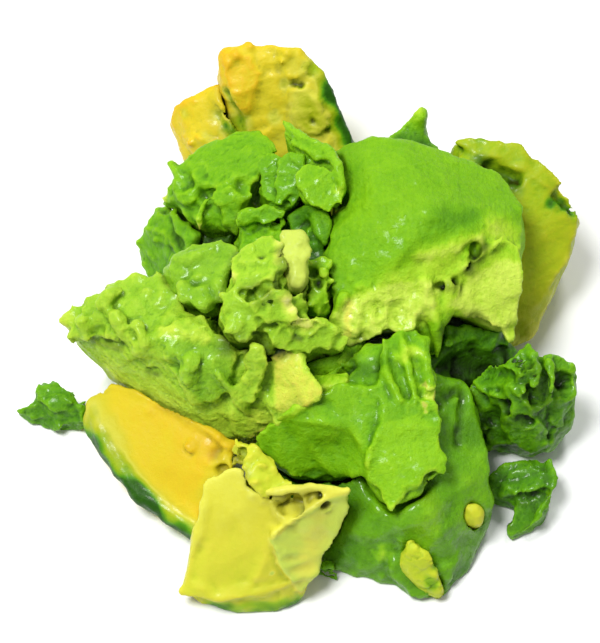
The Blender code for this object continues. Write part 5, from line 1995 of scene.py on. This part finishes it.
@dataclass
class PitPieces(Group):
    """The smooth yellow pieces from beside the pit, and the twisted crumb at the side."""

    layer: float = 2.0

    def chunks(self) -> Iterator[Chunk]:
        """Its chunks, in order."""
        yield self.pit_wedge()
        yield self.pale_block()
        yield self.side_crumb()

    def pit_wedge(self) -> Chunk:
        """The wedge with the pit's smooth yellow hollow and a green skin side."""
        return Chunk(
            "pit_wedge", PIT_SIDE, 0.82, slope=(0.1, 0.0, 0.05), voxel=0.5, fray=0.15, wet=0.3,
            painted_ridge_light=0.04,
            crumbs=(
                Crumbs(22, (0.5, 1.5), around=(89, 48, 92), to=(92, 30, 80), reach=4, bit=Bit.FLAKE),
            ),
            coarse=(Texture(Pattern.SWELL, (16, 16, 16), 0.4),),
            fine=(Texture(Pattern.SWELL, (5, 5, 5), 0.1), Texture(Pattern.SWELL, (1.2, 1.2, 1.2), 0.03)),
            plates=(
                Plate(((7, 97, 66), (24, 95, 87), (47, 84, 94), (79, 61, 98), (99, 47, 91), (94, 30, 79),
                       (85, 26, 68), (82, 12, 54), (76, 6, 44), (56, 23, 44), (40, 34, 43), (26, 52, 53),
                       (14, 75, 63)), height=-0.9, ripe=0.05, soft=1.4, jag=0.2, depth=9),
            ),
            dabs=(
                Dab((10, 87, 64), 6.5, lift=0.3, ripe=-0.26, to=(37, 28, 40)),
                Dab((37, 28, 40), 6.5, lift=0.3, ripe=-0.26, to=(70, 5, 35)),
                Dab((85, 20, 60), 5, ripe=-0.2, to=(95, 40, 85)),
                Dab((2, 70, 40), 7.5, ripe=-0.75, to=(28, 15, 12)),
                Dab((28, 15, 12), 7.5, ripe=-0.75, to=(65, -5, 10)),
                Dab((89, 45, 91), 2.4, lift=-0.6, ripe=0.1, shade=0.3),
                Dab((93, 35, 82), 2.0, lift=-1.2, shade=0.4),
            ),
        )

    def pale_block(self) -> Chunk:
        """The pale block: a smooth face, a folded corner and a hole between."""
        return Chunk(
            "pale_block", PALE, 0.62, slope=(0.0, 0.05, 0.12), voxel=0.5, wet=0.35, painted_ridge_light=0.08,
            crumbs=(Crumbs(18, (0.6, 1.8), around=(66, 72, 87), reach=5, bit=Bit.FLAKE),),
            leaves=(
                Leaf(((86, 72, 95), (101, 80, 95), (100, 62, 75), (92, 43, 56), (82, 20, 34), (72, 8, 20),
                      (65, 12, 37), (58, 25, 55), (53, 41, 73), (62, 50, 82), (74, 60, 90)), self.layer,
                      jag=0.25),
            ),
            strands=(
                Strand(((50, 74, 92), (62, 78, 94), (78, 80, 95), (95, 80, 90)), (1.0, 1.3, 1.3, 1.0)),
                Strand(((53, 43, 69), (58, 28, 52), (66, 13, 33)), (0.8, 1.0, 0.8)),
                Strand(((0, 14, 20), (20, 5, 22), (42, 8, 24), (66, 16, 26)), (1.0, 1.3, 1.3, 0.9)),
            ),
            plates=(
                Plate(((15, 91, 98), (38, 93, 107), (42, 85, 100), (53, 77, 95), (55, 60, 80),
                       (50, 44, 64), (47, 30, 50), (41, 15, 32), (20, 10, 26), (5, 22, 28), (7, 33, 44),
                       (13, 46, 59), (16, 68, 76)), height=-0.7, ripe=-0.01, soft=1.8, jag=0.2),
                Plate(((86, 72, 90), (101, 80, 90), (100, 62, 70), (82, 20, 30), (72, 8, 18),
                       (58, 25, 50), (53, 41, 68), (74, 60, 86)), ripe=0.26),
            ),
            coarse=(Texture(Pattern.SWELL, (14, 14, 14), 0.4),),
            fine=(Texture(Pattern.SWELL, (5, 5, 5), 0.12), Texture(Pattern.SWELL, (1.2, 1.2, 1.2), 0.03)),
            dabs=(
                Dab((62, 66, 87), 2.4, lift=-4.5, shade=0.45, to=(70, 68, 87)),
                Dab((83, 73, 88), 0.8, lift=-2.0, shade=0.6, to=(85, 68, 82)),
                Dab((54, 22, 40), 0.9, ripe=0.5),
                Dab((20, 0, 5), 4.0, ripe=-0.7, to=(70, 5, 5)),
                Dab((80, 60, 80), 5, ripe=-0.12, to=(75, 30, 40)),
            ),
        )

    def side_crumb(self) -> Chunk:
        """The twisted crumb at the far left."""
        return Chunk(
            "side_crumb", GREEN, 0.3, voxel=0.42, fray=0.4, wet=0.5, painted_ridge_light=0.14,
            crumbs=(Crumbs(10, (0.7, 2.0), lean=0.9), Crumbs(12, (0.8, 2.2), lean=0.9, bit=Bit.FLAKE)),
            coarse=(TORN,),
            fine=(FINE_TORN, GRAIN),
        )


# ---- Stage ----


@dataclass
class Studio:
    """A plain pale floor, soft light and the camera.

    Lengths are in metres but for the lens, which is in millimetres; powers are in watts.
    """

    floor_size: float = 6.0
    elevation: float = 60.0
    distance: float = 0.55
    target: Share = (-0.00014, -0.00497, 0.020)
    lens: float = 123.2
    overhead_power: float = 11.2
    behind_power: float = 5.5
    fill: float = 0.35

    def build(self) -> None:
        """Makes the floor, the lights and the camera."""
        self.lay_floor()
        self.light()
        self.aim_camera()

    def lay_floor(self) -> None:
        """Lays the floor under the heap."""
        form = bmesh.new()
        bmesh.ops.create_grid(form, x_segments=2, y_segments=2, size=self.floor_size / 2)
        mesh = bpy.data.meshes.new("floor")
        form.to_mesh(mesh)
        form.free()
        floor = bpy.data.objects.new("floor", mesh)
        bpy.context.scene.collection.objects.link(floor)
        board = Board("pale_floor")
        white = {"Base Color": (0.92, 0.92, 0.92, 1), "Roughness": 0.9, "Specular IOR Level": 0.1}
        floor.data.materials.append(board.ended(board.node("ShaderNodeBsdfPrincipled", {}, white)))

    def light(self) -> None:
        """Hangs a large soft lamp overhead, a smaller one behind, and fills from all round."""
        scene = bpy.context.scene
        world = bpy.data.worlds.new("soft_fill")
        world.use_nodes = True
        sky = world.node_tree.nodes["Background"]
        sky.inputs["Color"].default_value = (1, 1, 1, 1)
        sky.inputs["Strength"].default_value = self.fill
        scene.world = world
        self.lamp("overhead", (-0.35, -0.1, 1.0), 0.4, self.overhead_power)
        self.lamp("behind", (0.25, 0.75, 1.0), 0.3, self.behind_power)
        scene.view_settings.view_transform = "Standard"

    @staticmethod
    def lamp(name: str, place: Share, width: float, power: float) -> None:
        """Adds one soft lamp that faces the heap.

        Args:
            name: Its name.
            place: Where it hangs.
            width: How wide it is.
            power: Its power in watts.
        """
        data = bpy.data.lights.new(name, "AREA")
        data.shape = "DISK"
        data.size = width
        data.energy = power
        lamp = bpy.data.objects.new(name, data)
        lamp.location = place
        lamp.rotation_euler = (-Vector(place)).to_track_quat("-Z", "Y").to_euler()
        bpy.context.scene.collection.objects.link(lamp)

    def aim_camera(self) -> None:
        """Sets the camera looking down on the heap."""
        data = bpy.data.cameras.new("camera")
        data.lens = self.lens
        data.sensor_width = 36
        camera = bpy.data.objects.new("camera", data)
        lift = math.radians(self.elevation)
        back = Vector((0, -math.cos(lift), math.sin(lift)))
        camera.location = Vector(self.target) + back * self.distance
        camera.rotation_euler = (-back).to_track_quat("-Z", "Y").to_euler()
        data.clip_start = 0.01
        bpy.context.scene.collection.objects.link(camera)
        bpy.context.scene.camera = camera


def corners(box: tuple[Vector, Vector]) -> list[list[float]]:
    """A box as plain lists of numbers."""
    return [list(corner) for corner in box]


def main() -> None:
    """Builds the heap on its floor, with its lamps and camera."""
    logging.basicConfig(level=logging.INFO, format="%(message)s")
    heap = Heap()
    for group in (BackPieces(), UpperPieces(), MashedPieces(), CurdPieces(),
                  DomePieces(), RightPieces(), FrontPieces(), PitPieces()):
        group.build(heap)
    Studio().build()
    bpy.context.view_layer.update()


if __name__ == "__main__":
    main()
